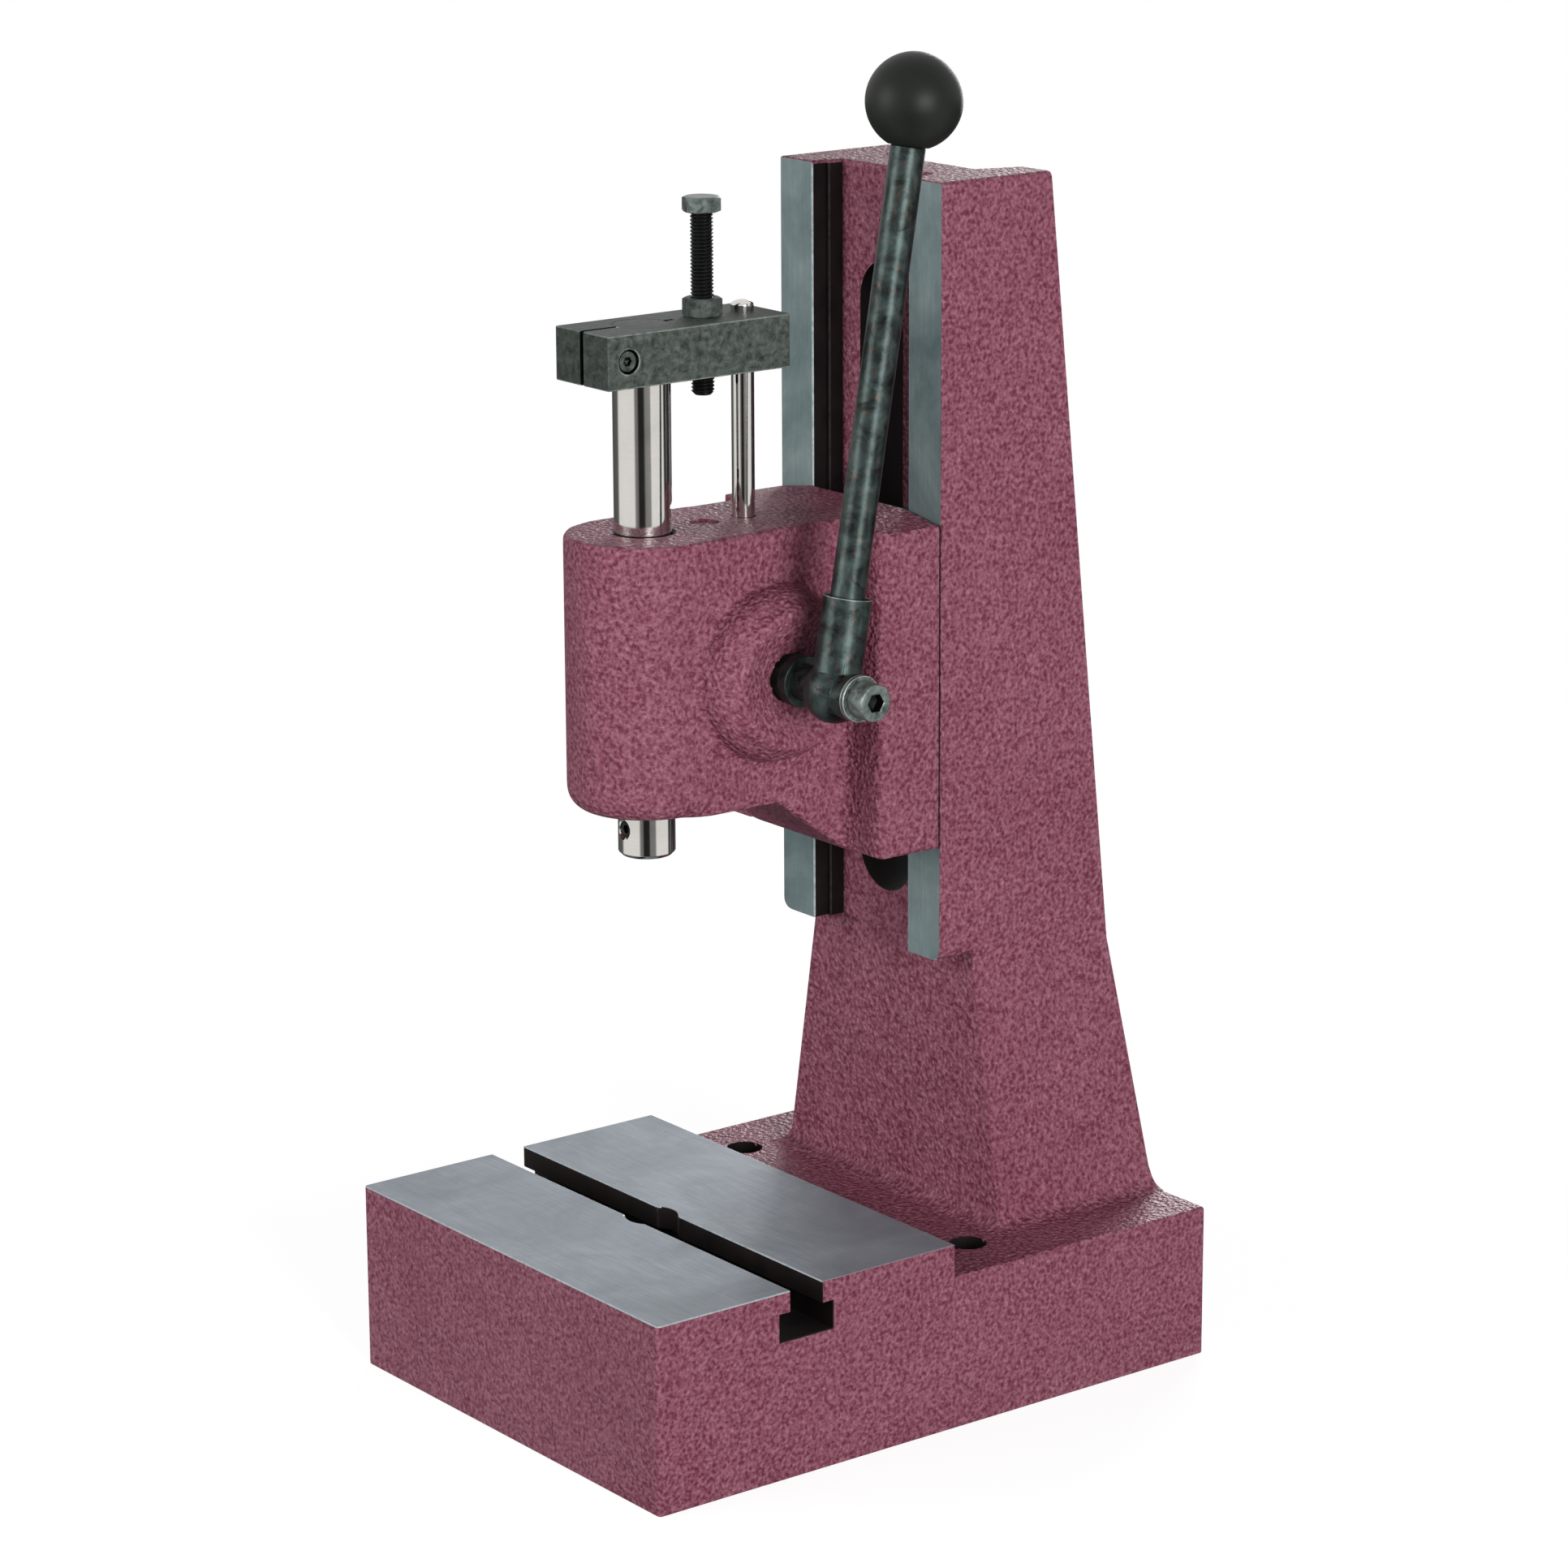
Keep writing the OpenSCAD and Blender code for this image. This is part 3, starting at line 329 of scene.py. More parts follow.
BOLT_STEEL = make_steel(
    "plain_bolt_steel", (56, 64, 62), (142, 152, 149), (188, 194, 191), (0.3, 0.42), 0.5, stains=260.0)
# Black oxide on the set screw and the stop bolt's thread, and painted shade inside sockets, slits,
# counterbores and the lever sleeve.
BLACK_OXIDE_AND_HOLLOW_SHADE = make_steel(
    "black_oxide_steel", (14, 15, 15), (28, 29, 29), (70, 74, 72), (0.36, 0.48), 0.4, stains=140.0)
BRONZE = make_steel("oiled_bronze", (44, 34, 24), (66, 50, 34), (96, 74, 48), (0.4, 0.52), 0.5)
BRASS = make_steel("insert_brass", (176, 142, 70), (198, 164, 88), (220, 190, 120), (0.28, 0.4), 0.9)
KNOB = make_knob_plastic()


# Mesh helpers

def set_materials(mesh, *materials):
    mesh.materials.clear()
    for material in materials:
        mesh.materials.append(material)


def to_object(name, bm, *materials):
    """A mesh object made from bm, which is in millimetres."""
    bm.transform(Matrix.Scale(MM, 4))
    mesh = bpy.data.meshes.new(name)
    set_materials(mesh, *materials)
    bm.to_mesh(mesh)
    bm.free()
    obj = bpy.data.objects.new(name, mesh)
    bpy.context.scene.collection.objects.link(obj)
    return obj


def plain_mesh(obj):
    """Turns what obj's modifiers make into its plain mesh."""
    graph = bpy.context.evaluated_depsgraph_get()
    mesh = bpy.data.meshes.new_from_object(
        obj.evaluated_get(graph), preserve_all_data_layers=True, depsgraph=graph)
    old = obj.data
    obj.modifiers.clear()
    obj.data = mesh
    bpy.data.meshes.remove(old)
    mesh.name = obj.name


def flat_group(first):
    """All the faces that lie in one plane with the first and join it."""
    group = {first}
    reach = [first]
    while reach:
        for edge in reach.pop().edges:
            if edge.is_manifold and edge.calc_face_angle() < FLAT_ANGLE:
                fresh = set(edge.link_faces) - group
                group |= fresh
                reach.extend(fresh)
    return group


def crease_flats(mesh):
    """Keeps broad flats truly flat: their borders are sharp, save where a rounded edge runs."""
    bm = bmesh.new()
    bm.from_mesh(mesh)
    rounded = bm.faces.layers.float["edge"]
    left = set(bm.faces)
    while left:
        group = flat_group(next(iter(left)))
        left -= group
        if sum(face.calc_area() for face in group) < BROAD_FLAT:
            continue
        for edge in {edge for face in group for edge in face.edges}:
            beside = set(edge.link_faces) - group
            if beside and all(face[rounded] < 0.5 for face in beside):
                edge.smooth = False
    bm.to_mesh(mesh)
    bm.free()


def shade(obj, angle=SHARP_ANGLE, weighted=True, flats_creased=False):
    """Smooth faces with creases at sharp edges, and flat faces kept flat beside rounded ones."""
    obj.data.shade_smooth()
    obj.data.set_sharp_from_angle(angle=angle)
    if flats_creased:
        crease_flats(obj.data)
    if weighted:
        flats = obj.modifiers.new("flats", "WEIGHTED_NORMAL")
        flats.keep_sharp = True
        flats.use_face_influence = True
        plain_mesh(obj)
    return obj


def settle(obj, body, slot, *nodes):
    """The finished piece stands for these CAD nodes and moves with their body."""
    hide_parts(*nodes)
    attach(obj, body)


def cad_copy(node):
    """A copy of a CAD node's mesh, in millimetres, with its vertices joined."""
    bm = bmesh.new()
    bm.from_mesh(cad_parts[node].data)
    bm.transform(Matrix.Scale(1 / MM, 4))
    bmesh.ops.remove_doubles(bm, verts=bm.verts[:], dist=0.0005)
    return bm


def on_hole(edge):
    """Whether an edge runs along a hollow round wall, as a hole's rim does."""
    sides = [side for face in edge.link_faces for side in face.edges]
    hollow = [side for side in sides if side.is_manifold and not side.is_convex]
    return any(LEAST_BEND < side.calc_face_angle() < SHARP_ANGLE for side in hollow)


def edge_middle(edge):
    return (edge.verts[0].co + edge.verts[1].co) / 2


def round_edges(name, bm, widest, share, *materials, rims=True):
    """Rounds bm's sharp outer edges. share(edge) gives each its part of the widest rounding."""
    weight = bm.edges.layers.float.new("bevel_weight_edge")
    for edge in bm.edges:
        outer = edge.is_manifold and edge.is_convex and edge.calc_face_angle() > SHARP_ANGLE
        if outer and (rims or not on_hole(edge)):
            edge[weight] = share(edge)
    obj = to_object(name, bm, *materials)
    rounding = obj.modifiers.new("rounding", "BEVEL")
    rounding.limit_method = "WEIGHT"
    rounding.width = widest * MM
    rounding.segments = ROUNDING_SEGMENTS
    rounding.use_clamp_overlap = False
    rounding.face_strength_mode = "FSTR_ALL"
    rounding.material = len(materials)
    obj.data.materials.append(materials[0])
    plain_mesh(obj)
    mark = obj.data.attributes.new("edge", "FLOAT", "FACE")
    for polygon in obj.data.polygons:
        if polygon.material_index == len(materials):
            mark.data[polygon.index].value = 1.0
            polygon.material_index = 0
    obj.data.materials.pop()
    return obj


def dressed(node, name, body, slot, material, widest, rims=True):
    """A CAD node's own shape with rounded edges and smooth faces."""
    obj = round_edges(name, cad_copy(node), widest, lambda edge: 1.0, material, rims=rims)
    settle(shade(obj), body, slot, node)


def cut_away(obj, cutter, solver):
    """Cuts the cutter's shape out of obj, and removes the cutter."""
    cut = obj.modifiers.new(cutter.name, "BOOLEAN")
    cut.object = cutter
    cut.solver = solver
    plain_mesh(obj)
    bpy.data.objects.remove(cutter)


def ring(radius, height, flats=0, fall=0.0):
    """One ring of a turned piece. With flats it is a polygon whose corners fall away."""
    points = []
    for step in range(RING_STEPS):
        angle = 2 * math.pi * step / RING_STEPS
        reach = radius
        if flats:
            half = math.pi / flats
            reach = radius / math.cos((angle + half) % (2 * half) - half)
        points.append((reach * math.cos(angle), reach * math.sin(angle), height - fall * (reach - radius)))
    return points


def turned(bm, rings, place, tube=False):
    """Adds a turned shape to bm: rings of (radius, height, flats, fall), or a point at radius 0."""
    rows = []
    for radius, height, *rest in rings:
        points = ring(radius, height, *rest) if radius > 0 else [(0.0, 0.0, height)]
        rows.append([bm.verts.new(place @ Vector(p)) for p in points])
    if tube:
        rows.append(rows[0])
    faces = []
    for low, high in zip(rows, rows[1:]):
        for i in range(RING_STEPS):
            j = (i + 1) % RING_STEPS
            if len(low) == 1:
                faces.append(bm.faces.new((low[0], high[j], high[i])))
            elif len(high) == 1:
                faces.append(bm.faces.new((low[i], low[j], high[0])))
            else:
                faces.append(bm.faces.new((low[i], low[j], high[j], high[i])))
    bmesh.ops.recalc_face_normals(bm, faces=faces)
    return faces


def arc(radius, rise, height, start, steps):
    """Rings of a dome over a height, from the start angle up to just below its pole."""
    angles = [start + (math.pi / 2 - start) * step / steps for step in range(steps)]
    return [(radius * math.cos(angle), height + rise * math.sin(angle)) for angle in angles]


SIDEWAYS = Matrix.Rotation(math.radians(90), 4, "Y")
FORWARDS = Matrix.Rotation(math.radians(90), 4, "X")
BACKWARDS = Matrix.Rotation(math.radians(-90), 4, "X")
UPRIGHT_RAM = Matrix.Translation((0.0, RAM_Y, 0.0))
UPRIGHT_STOP = Matrix.Translation((0.0, STOP_Y, 0.0))
UPRIGHT_GUIDE = Matrix.Translation((0.0, GUIDE_Y, 0.0))
ALONG_SHAFT = Matrix.Translation(SHAFT) @ SIDEWAYS
ALONG_LEVER = Matrix.Translation((HUB_X, SHAFT.y, SHAFT.z)) @ Matrix.Rotation(-LEVER_LEAN, 4, "X")


def new_turned(name, rings, place, material, tube=False):
    bm = bmesh.new()
    turned(bm, rings, place, tube)
    return shade(to_object(name, bm, material))


# Geometry node trees

def new_tree(name, inputs):
    """A geometry node tree with more inputs beside its geometry."""
    shape = ("Geometry", "Geometry")
    return new_group("Geometry", name, [(*shape, None), *inputs], [shape])


def end_tree(tree, given, end, shape):
    """Every tree ends in plain geometry with its material."""
    real = add(tree, "GeometryNodeRealizeInstances", {0: shape})
    finish = add(tree, "GeometryNodeSetMaterial", {
        "Geometry": real.outputs[0], "Material": given["Material"],
    })
    feed(tree, end, {0: finish.outputs[0]})
    return tree


def run_tree(obj, tree, **values):
    """Runs a tree with these inputs, and keeps what it makes as a plain mesh."""
    modifier = obj.modifiers.new(tree.name, "NODES")
    modifier.node_group = tree
    for item in tree.interface.items_tree:
        key = item.name.replace(" ", "_")
        if item.in_out == "INPUT" and key in values:
            modifier[item.identifier] = values[key]
    plain_mesh(obj)


def make_thread_tree():
    """A threaded shank along Z: a sheet rolled round it, with its crest along a helix."""
    tree, given, end = new_tree("threaded_shank", [
        ("Crest Radius", "Float", 0.004), ("Depth", "Float", 0.0006), ("Pitch", "Float", 0.00125),
        ("Length", "Float", 0.06), ("Round Steps", "Int", 48), ("Steps a Turn", "Float", 8.0),
        ("Chamfer", "Float", 0.001), ("Material", "Material", None),
    ])
    turns = maths(tree, "DIVIDE", given["Length"], given["Pitch"])
    rows = maths(tree, "CEIL", maths(tree, "MULTIPLY", turns, given["Steps a Turn"]))
    columns = maths(tree, "ADD", given["Round Steps"], 1.0)
    sheet = add(tree, "GeometryNodeMeshGrid", {
        "Size X": 1.0, "Size Y": 1.0, "Vertices X": columns, "Vertices Y": rows,
    })
    position = add(tree, "ShaderNodeSeparateXYZ", {0: add(tree, "GeometryNodeInputPosition").outputs[0]})
    around = maths(tree, "ADD", position.outputs["X"], 0.5)
    along = maths(tree, "ADD", position.outputs["Y"], 0.5)
    height = maths(tree, "MULTIPLY", along, given["Length"])
    phase = maths(tree, "SUBTRACT", maths(tree, "DIVIDE", height, given["Pitch"]), around)
    crest = maths(tree, "MULTIPLY", maths(tree, "PINGPONG", phase, 0.5), 2.0)
    flat_crest = maths(tree, "MINIMUM", maths(tree, "MULTIPLY", crest, 1.18), 1.0)
    root = maths(tree, "SUBTRACT", given["Crest Radius"], given["Depth"])
    thread = maths(tree, "MULTIPLY_ADD", flat_crest, given["Depth"], root)
    lead_in = maths(tree, "ADD", maths(tree, "SUBTRACT", root, given["Chamfer"]), height)
    held = maths(tree, "MINIMUM", thread, lead_in)
    past_start = maths(tree, "GREATER_THAN", along, 0.0001)
    before_end = maths(tree, "LESS_THAN", along, 0.9999)
    radius = maths(tree, "MULTIPLY", held, maths(tree, "MULTIPLY", past_start, before_end))
    turn = maths(tree, "MULTIPLY", around, 2 * math.pi)
    rolled = add(tree, "ShaderNodeCombineXYZ", {
        0: maths(tree, "MULTIPLY", maths(tree, "COSINE", turn), radius),
        1: maths(tree, "MULTIPLY", maths(tree, "SINE", turn), radius),
        2: height,
    })
    shank = add(tree, "GeometryNodeSetPosition", {
        "Geometry": sheet.outputs["Mesh"], "Position": rolled.outputs[0],
    })
    seam = add(tree, "GeometryNodeMergeByDistance", {"Geometry": shank.outputs[0], "Distance": 0.000001})
    return end_tree(tree, given, end, seam.outputs[0])


def in_row(tree, shape, count, step, first=(0.0, 0.0, 0.0)):
    """Copies of a shape in a straight row."""
    line = add(tree, "GeometryNodeMeshLine", {"Count": count, "Start Location": first, "Offset": step})
    copies = add(tree, "GeometryNodeInstanceOnPoints", {"Points": line.outputs[0], "Instance": shape})
    return copies.outputs[0]


def make_row_tree():
    tree, given, end = new_tree("row_of_copies", [
        ("Count", "Int", 2), ("Step", "Vector", (0.0, 0.0, 0.07)), ("Material", "Material", None),
    ])
    return end_tree(tree, given, end, in_row(tree, given["Geometry"], given["Count"], given["Step"]))


def make_rack_tree():
    """Rack teeth: a row of tapered gaps cut out of a bar's flat."""
    tree, given, end = new_tree("rack_teeth", [
        ("Gap", "Object", None), ("Count", "Int", 10), ("First", "Vector", (0.0, 0.0, 0.0)),
        ("Step", "Vector", (0.0, 0.0, 0.0047)), ("Material", "Material", None),
    ])
    cutter = add(tree, "GeometryNodeObjectInfo", {"Object": given["Gap"]}, transform_space="ORIGINAL")
    gaps = in_row(tree, cutter.outputs["Geometry"], given["Count"], given["Step"], given["First"])
    real_gaps = add(tree, "GeometryNodeRealizeInstances", {0: gaps})
    cut = add(
        tree, "GeometryNodeMeshBoolean",
        {0: given["Geometry"], 1: real_gaps.outputs[0], "Self Intersection": True},
        operation="DIFFERENCE", solver="EXACT",
    )
    return end_tree(tree, given, end, cut.outputs["Mesh"])


THREAD_TREE = make_thread_tree()
ROW_TREE = make_row_tree()
RACK_TREE = make_rack_tree()
THREAD_ANGLE = math.radians(50)
THREAD_CHAMFER = 0.8


def threaded(name, place, crest, depth, pitch, length, material):
    """A threaded shank that starts at the place's origin and runs along its Z."""
    obj = to_object(name, bmesh.new(), material)
    run_tree(
        obj, THREAD_TREE, Crest_Radius=crest * MM, Depth=depth * MM, Pitch=pitch * MM, Length=length * MM,
        Chamfer=THREAD_CHAMFER * MM, Material=material)
    obj.data.transform(Matrix.Scale(MM, 4) @ place @ Matrix.Scale(1 / MM, 4))
    bm = bmesh.new()
    bm.from_mesh(obj.data)
    bmesh.ops.recalc_face_normals(bm, faces=bm.faces[:])
    bm.to_mesh(obj.data)
    bm.free()
    return shade(obj, THREAD_ANGLE, weighted=False)


def joined(obj, *others):
    """One mesh out of several, with all their materials."""
    materials = []
    bm = bmesh.new()
    for source in (obj, *others):
        mesh = source.data.copy()
        for polygon in mesh.polygons:
            material = source.data.materials[polygon.material_index]
            if material not in materials:
                materials.append(material)
            polygon.material_index = materials.index(material)
        bm.from_mesh(mesh)
        bpy.data.meshes.remove(mesh)
    set_materials(obj.data, *materials)
    bm.to_mesh(obj.data)
    bm.free()
    for source in others:
        bpy.data.objects.remove(source)


# Frame casting, in the CAD model's three nodes: painted, with a ground table and rails

CAST_ROUNDING = 1.6

# Each edge's share of the casting's widest rounding
CRISP_EDGE = 0.3
TOP_EDGE = 0.7
LEDGE_EDGE = 0.8
SOFT_CORNER = 1.0

# Where the hollows and faces of the casting lie, with a little to spare
BENCH_HOLE = Vector((66.0, 31.0))
BENCH_HOLE_REACH = 6.9
T_SLOT_REACH = 12.0
BASE_SIDE_X = 89.9
CLAMP_SLOT_REACH = 15.2
CLAMP_SLOT_START_Z = 160.0
WEB_BACK_Y = 65.6
COLUMN_REAR_Y = 100.0


def near(value, target):
    return abs(value - target) < TOUCH


def lies_at_z(edge, z):
    return all(near(vert.co.z, z) for vert in edge.verts)


def plinth_rounding(edge):
    """The seam to the table stays sharp, so that it doesn't show."""
    return 0.0 if lies_at_z(edge, SEAM_Z) else CRISP_EDGE


def bed_rounding(edge):
    """The ledge is softer, save where the column's back stands on its edge."""
    middle = edge_middle(edge)
    if lies_at_z(edge, SEAM_Z):
        return 0.0
    if lies_at_z(edge, LEDGE_Z) and middle.y > TABLE_BACK_Y + 1:
        under_column = middle.y > COLUMN_REAR_Y and abs(middle.x) < COLUMN_FOOT_X
        return 0.0 if under_column else LEDGE_EDGE
    return CRISP_EDGE


def column_rounding(edge):
    """The rails are crisp, the sides' corners soft, and the seam to the ledge sharp."""
    middle = edge_middle(edge)
    if lies_at_z(edge, LEDGE_Z):
        return 0.0
    if middle.z > RAIL_BOTTOM_Z - 1 and near(middle.y, RAIL_Y):
        return CRISP_EDGE
    if middle.z > LEDGE_Z + 10 and abs(middle.x) > COLUMN_SIDE_X and middle.y > LOWER_FRONT_Y - 1:
        return SOFT_CORNER
    if near(middle.z, COLUMN_TOP_Z) and middle.y > RAIL_Y + 1:
        return TOP_EDGE
    return CRISP_EDGE


def plinth_finish(centre, normal):
    """The casting's finishes: 0 paint, 1 ground table, 2 ground rails, 3 painted shade, near black, in the
    hollows.
    """
    off_hole = math.hypot(abs(centre.x) - BENCH_HOLE.x, centre.y - BENCH_HOLE.y)
    return 3 if off_hole < BENCH_HOLE_REACH and abs(normal.z) < 0.5 else 0


def bed_finish(centre, normal):
    if centre.z > TABLE_Z - 0.5 and normal.z > 0.2:
        return 1
    # Painted shade inside the T-slot.
    in_slot = abs(centre.y - RAM_Y) < T_SLOT_REACH and abs(centre.x) < BASE_SIDE_X
    if in_slot and centre.z < TABLE_Z - 0.3:
        return 3
    return plinth_finish(centre, normal)


def column_finish(centre, normal):
    if centre.z > COLUMN_TOP_Z - 2 or abs(centre.x) > COLUMN_SIDE_X:
        return 0
    if centre.z > RAIL_BOTTOM_Z and centre.y < RAIL_Y + 0.5:
        return 2
    # Painted shade on the rails' inner flanks and on the clamp slot's walls.
    rail_flank = abs(centre.x) < RAIL_INNER_X + 0.2 and centre.y < GROOVE_FLOOR_Y - 0.4
    if centre.z > RAIL_BOTTOM_Z - 1 and rail_flank:
        return 3
    in_web = GROOVE_FLOOR_Y + 0.4 < centre.y < WEB_BACK_Y
    if centre.z > CLAMP_SLOT_START_Z and abs(centre.x) < CLAMP_SLOT_REACH and in_web:
        return 3
    return 0


def make_cast_frame():
    pieces = {
        "base_plinth": ("cast_plinth", plinth_rounding, plinth_finish),
        "table_bed": ("cast_table", bed_rounding, bed_finish),
        "column": ("cast_column", column_rounding, column_finish),
    }
    for node, (name, rounding, finish) in pieces.items():
        bm = cad_copy(node)
        if node == "table_bed":
            for side in (-COLUMN_FOOT_X, COLUMN_FOOT_X):
                parts = bm.verts[:] + bm.edges[:] + bm.faces[:]
                bmesh.ops.bisect_plane(bm, geom=parts, plane_co=(side, 0, 0), plane_no=(1, 0, 0))
        obj = round_edges(
            name, bm, CAST_ROUNDING, rounding, PAINT, TABLE_STEEL, RAIL_STEEL, HOLLOW_AND_JOINT_SHADE, rims=False)
        for polygon in obj.data.polygons:
            polygon.material_index = finish(polygon.center / MM, polygon.normal)
        settle(shade(obj, flats_creased=True), "frame", "hammer_paint", node)


# Head casting: one soft cast shape, crisp where it was machined

HEAD_VOXEL = 1.0
HEAD_SMOOTHING = 16
HEAD_ANGLE = math.radians(40)
JOINT_LINE = 0.9
RAM_BORE = 10.35
PIN_BORE = 4.15
BORE_CHAMFER = 0.85
PIN_BORE_DEPTH = 6.0
LANDING_RADIUS = 5.0
LANDING_DEPTH = 0.8
SHAFT_MOUTH = 8.3
COVER_MOUTH = 33.0
LEFT_BOSS_X = -30.0
FADE = 2.5
DRILL_OUT = 2.0


def head_softness(point):
    """How far the cast surface is smoothed at a point, from 0 at machined faces to 1."""
    if point.y > RAIL_Y - 1.5:
        return 0.0
    from_shaft = math.hypot(point.y - SHAFT.y, point.z - SHAFT.z)
    gaps = [
        math.hypot(point.x, point.y - RAM_Y) - RAM_RADIUS,
        math.hypot(point.x, point.y - GUIDE_Y) - PIN_RADIUS,
        math.hypot(point.x, point.y - STOP_Y) - LANDING_RADIUS,
    ]
    if point.x > 0:
        gaps.append(from_shaft - SHAFT_MOUTH)
    if point.x < LEFT_BOSS_X:
        gaps.append(COVER_MOUTH - from_shaft)
    return min(max(min(gaps) / FADE, 0.0), 1.0)


def drilled_head(obj):
    """Cuts the head's bores again, clean and chamfered, after its skin is softened."""
    low, high = NOSE_BOTTOM_Z, HEAD_TOP_Z
    under, over = low - DRILL_OUT, high + DRILL_OUT
    flared = RAM_BORE + BORE_CHAMFER + DRILL_OUT
    bm = bmesh.new()
    turned(bm, [
        (0, under), (flared, under), (RAM_BORE, low + BORE_CHAMFER), (RAM_BORE, high - BORE_CHAMFER),
        (flared, over), (0, over),
    ], UPRIGHT_RAM)
    pin_floor = high - PIN_BORE_DEPTH
    turned(bm, [(0, pin_floor), (PIN_BORE, pin_floor), (PIN_BORE, over), (0, over)], UPRIGHT_GUIDE)
    landing = high - LANDING_DEPTH
    turned(bm, [
        (0, landing), (LANDING_RADIUS, landing), (LANDING_RADIUS + 0.2, over), (0, over),
    ], UPRIGHT_STOP)
    cut_away(obj, to_object("head_drills", bm, HOLLOW_AND_JOINT_SHADE), "MANIFOLD")


def head_finish(centre):
    """0 paint, 1 painted shade, near black, inside its bores and along the joint where the head seats on
    its rails.
    """
    at_joint = centre.y > RAIL_Y - JOINT_LINE
    in_ram_bore = math.hypot(centre.x, centre.y - RAM_Y) < RAM_BORE + 0.9
    in_pin_bore = math.hypot(centre.x, centre.y - GUIDE_Y) < PIN_BORE + 0.1
    return 1 if at_joint or in_ram_bore or in_pin_bore else 0


def make_cast_head():
    obj = to_object("cast_head", cad_copy("press_head"), PAINT)
    skin = obj.modifiers.new("skin", "REMESH")
    skin.mode = "VOXEL"
    skin.voxel_size = HEAD_VOXEL * MM
    plain_mesh(obj)
    softness = obj.vertex_groups.new(name="softness")
    for vertex in obj.data.vertices:
        softness.add([vertex.index], head_softness(vertex.co / MM), "REPLACE")
    soften = obj.modifiers.new("soften", "SMOOTH")
    soften.iterations = HEAD_SMOOTHING
    soften.factor = 0.5
    soften.vertex_group = softness.name
    plain_mesh(obj)
    obj.vertex_groups.clear()
    drilled_head(obj)
    set_materials(obj.data, PAINT, HOLLOW_AND_JOINT_SHADE)
    for polygon in obj.data.polygons:
        polygon.material_index = head_finish(polygon.center / MM)
    settle(shade(obj, HEAD_ANGLE, weighted=False), "head", "hammer_paint", "press_head")


# Ram with its rack

TOOL_BORE = 5.0
TOOL_BORE_DEPTH = 24.0
SCREW_HOLE_MOUTH = 9.2
RACK_MODULE = 1.5
RACK_PITCH = math.pi * RACK_MODULE
RACK_TIP = RAM_RADIUS - 1.25
RACK_PITCH_LINE = RACK_TIP - RACK_MODULE
RACK_ROOT = RACK_PITCH_LINE - 1.25 * RACK_MODULE
RACK_GAPS = 17
RACK_GAPS_BELOW_SHAFT = 3.5
TOOTH_SLOPE = math.tan(math.radians(20))
TOOTH_PLAY = 0.03


def make_rack_gap():
    """A cutter at height 0: the space between two rack teeth, and the flat above it."""
    half = RACK_PITCH / 4 + TOOTH_PLAY
    root = half - (RACK_PITCH_LINE - RACK_ROOT) * TOOTH_SLOPE
    tip = half + (RACK_TIP - RACK_PITCH_LINE) * TOOTH_SLOPE
    flat = RACK_PITCH / 2 + 0.01
    outside = RAM_RADIUS + 2
    upper = [(outside, flat), (RACK_TIP, flat), (RACK_TIP, tip), (RACK_ROOT, root)]
    outline = [(y, -z) for y, z in upper[::-1]] + upper
    bm = bmesh.new()
    sides = [
        [bm.verts.new((x, RAM_Y + y, z)) for y, z in outline] for x in (-RAM_RADIUS - 1, RAM_RADIUS + 1)
    ]
    bm.faces.new(sides[0])
    bm.faces.new(sides[1][::-1])
    for i in range(len(outline)):
        j = (i + 1) % len(outline)
        bm.faces.new((sides[0][i], sides[0][j], sides[1][j], sides[1][i]))
    bmesh.ops.recalc_face_normals(bm, faces=bm.faces[:])
    return to_object("rack_gap", bm, POLISHED)


def make_tool_screw_drill():
    """A drill for the set screw's hole in the ram's front, with a countersink."""
    low, high = ends("tool_screw", "z")
    radius = (high - low) / 2
    place = Matrix.Translation((0.0, RAM_Y, (low + high) / 2)) @ FORWARDS
    bm = bmesh.new()
    turned(bm, [
        (0, 0), (radius, 0), (radius, SCREW_HOLE_MOUTH), (radius + 2, SCREW_HOLE_MOUTH + 2),
        (0, SCREW_HOLE_MOUTH + 2),
    ], place)
    return to_object("tool_screw_drill", bm, BLACK_OXIDE_AND_HOLLOW_SHADE)


def make_ram():
    low, high = ends("ram", "z")
    bm = bmesh.new()
    turned(bm, [
        (0, low + TOOL_BORE_DEPTH), (TOOL_BORE, low + TOOL_BORE_DEPTH), (TOOL_BORE, low + 0.5),
        (TOOL_BORE + 0.5, low), (RAM_RADIUS - 1.5, low), (RAM_RADIUS - 1.3, low + 0.1),
        (RAM_RADIUS - 0.1, low + 1.3), (RAM_RADIUS, low + 1.5), (RAM_RADIUS, high - 0.5),
        (RAM_RADIUS - 0.2, high - 0.1), (RAM_RADIUS - 0.5, high), (0, high),
    ], UPRIGHT_RAM)
    ram = to_object("ram_bar", bm, POLISHED)
    gap = make_rack_gap()
    first = SHAFT.z - RACK_GAPS_BELOW_SHAFT * RACK_PITCH
    run_tree(
        ram, RACK_TREE, Gap=gap, Count=RACK_GAPS, First=(0.0, 0.0, first * MM),
        Step=(0.0, 0.0, RACK_PITCH * MM), Material=POLISHED)
    bpy.data.objects.remove(gap)
    cut_away(ram, make_tool_screw_drill(), "EXACT")
    ram.data.materials.append(BLACKENED)
    for polygon in ram.data.polygons:
        centre = polygon.center / MM
        out = math.hypot(centre.x, centre.y - RAM_Y)
        toothed = centre.y > RAM_Y + RACK_ROOT - 0.2 and out < RAM_RADIUS - 0.4
        if toothed or centre.z > high - 0.2:
            polygon.material_index = 1
    settle(shade(ram), "ram", "polished_steel", "ram")


# Stop bolt, nuts and screws

HEX = 6
HEX_CHAMFER = 0.35
STOP_ACROSS = 12.0
STOP_HEAD_HEIGHT = 5.3
STOP_HEAD_TURN = math.radians(8)
LOCK_NUT_TURN = math.radians(20)


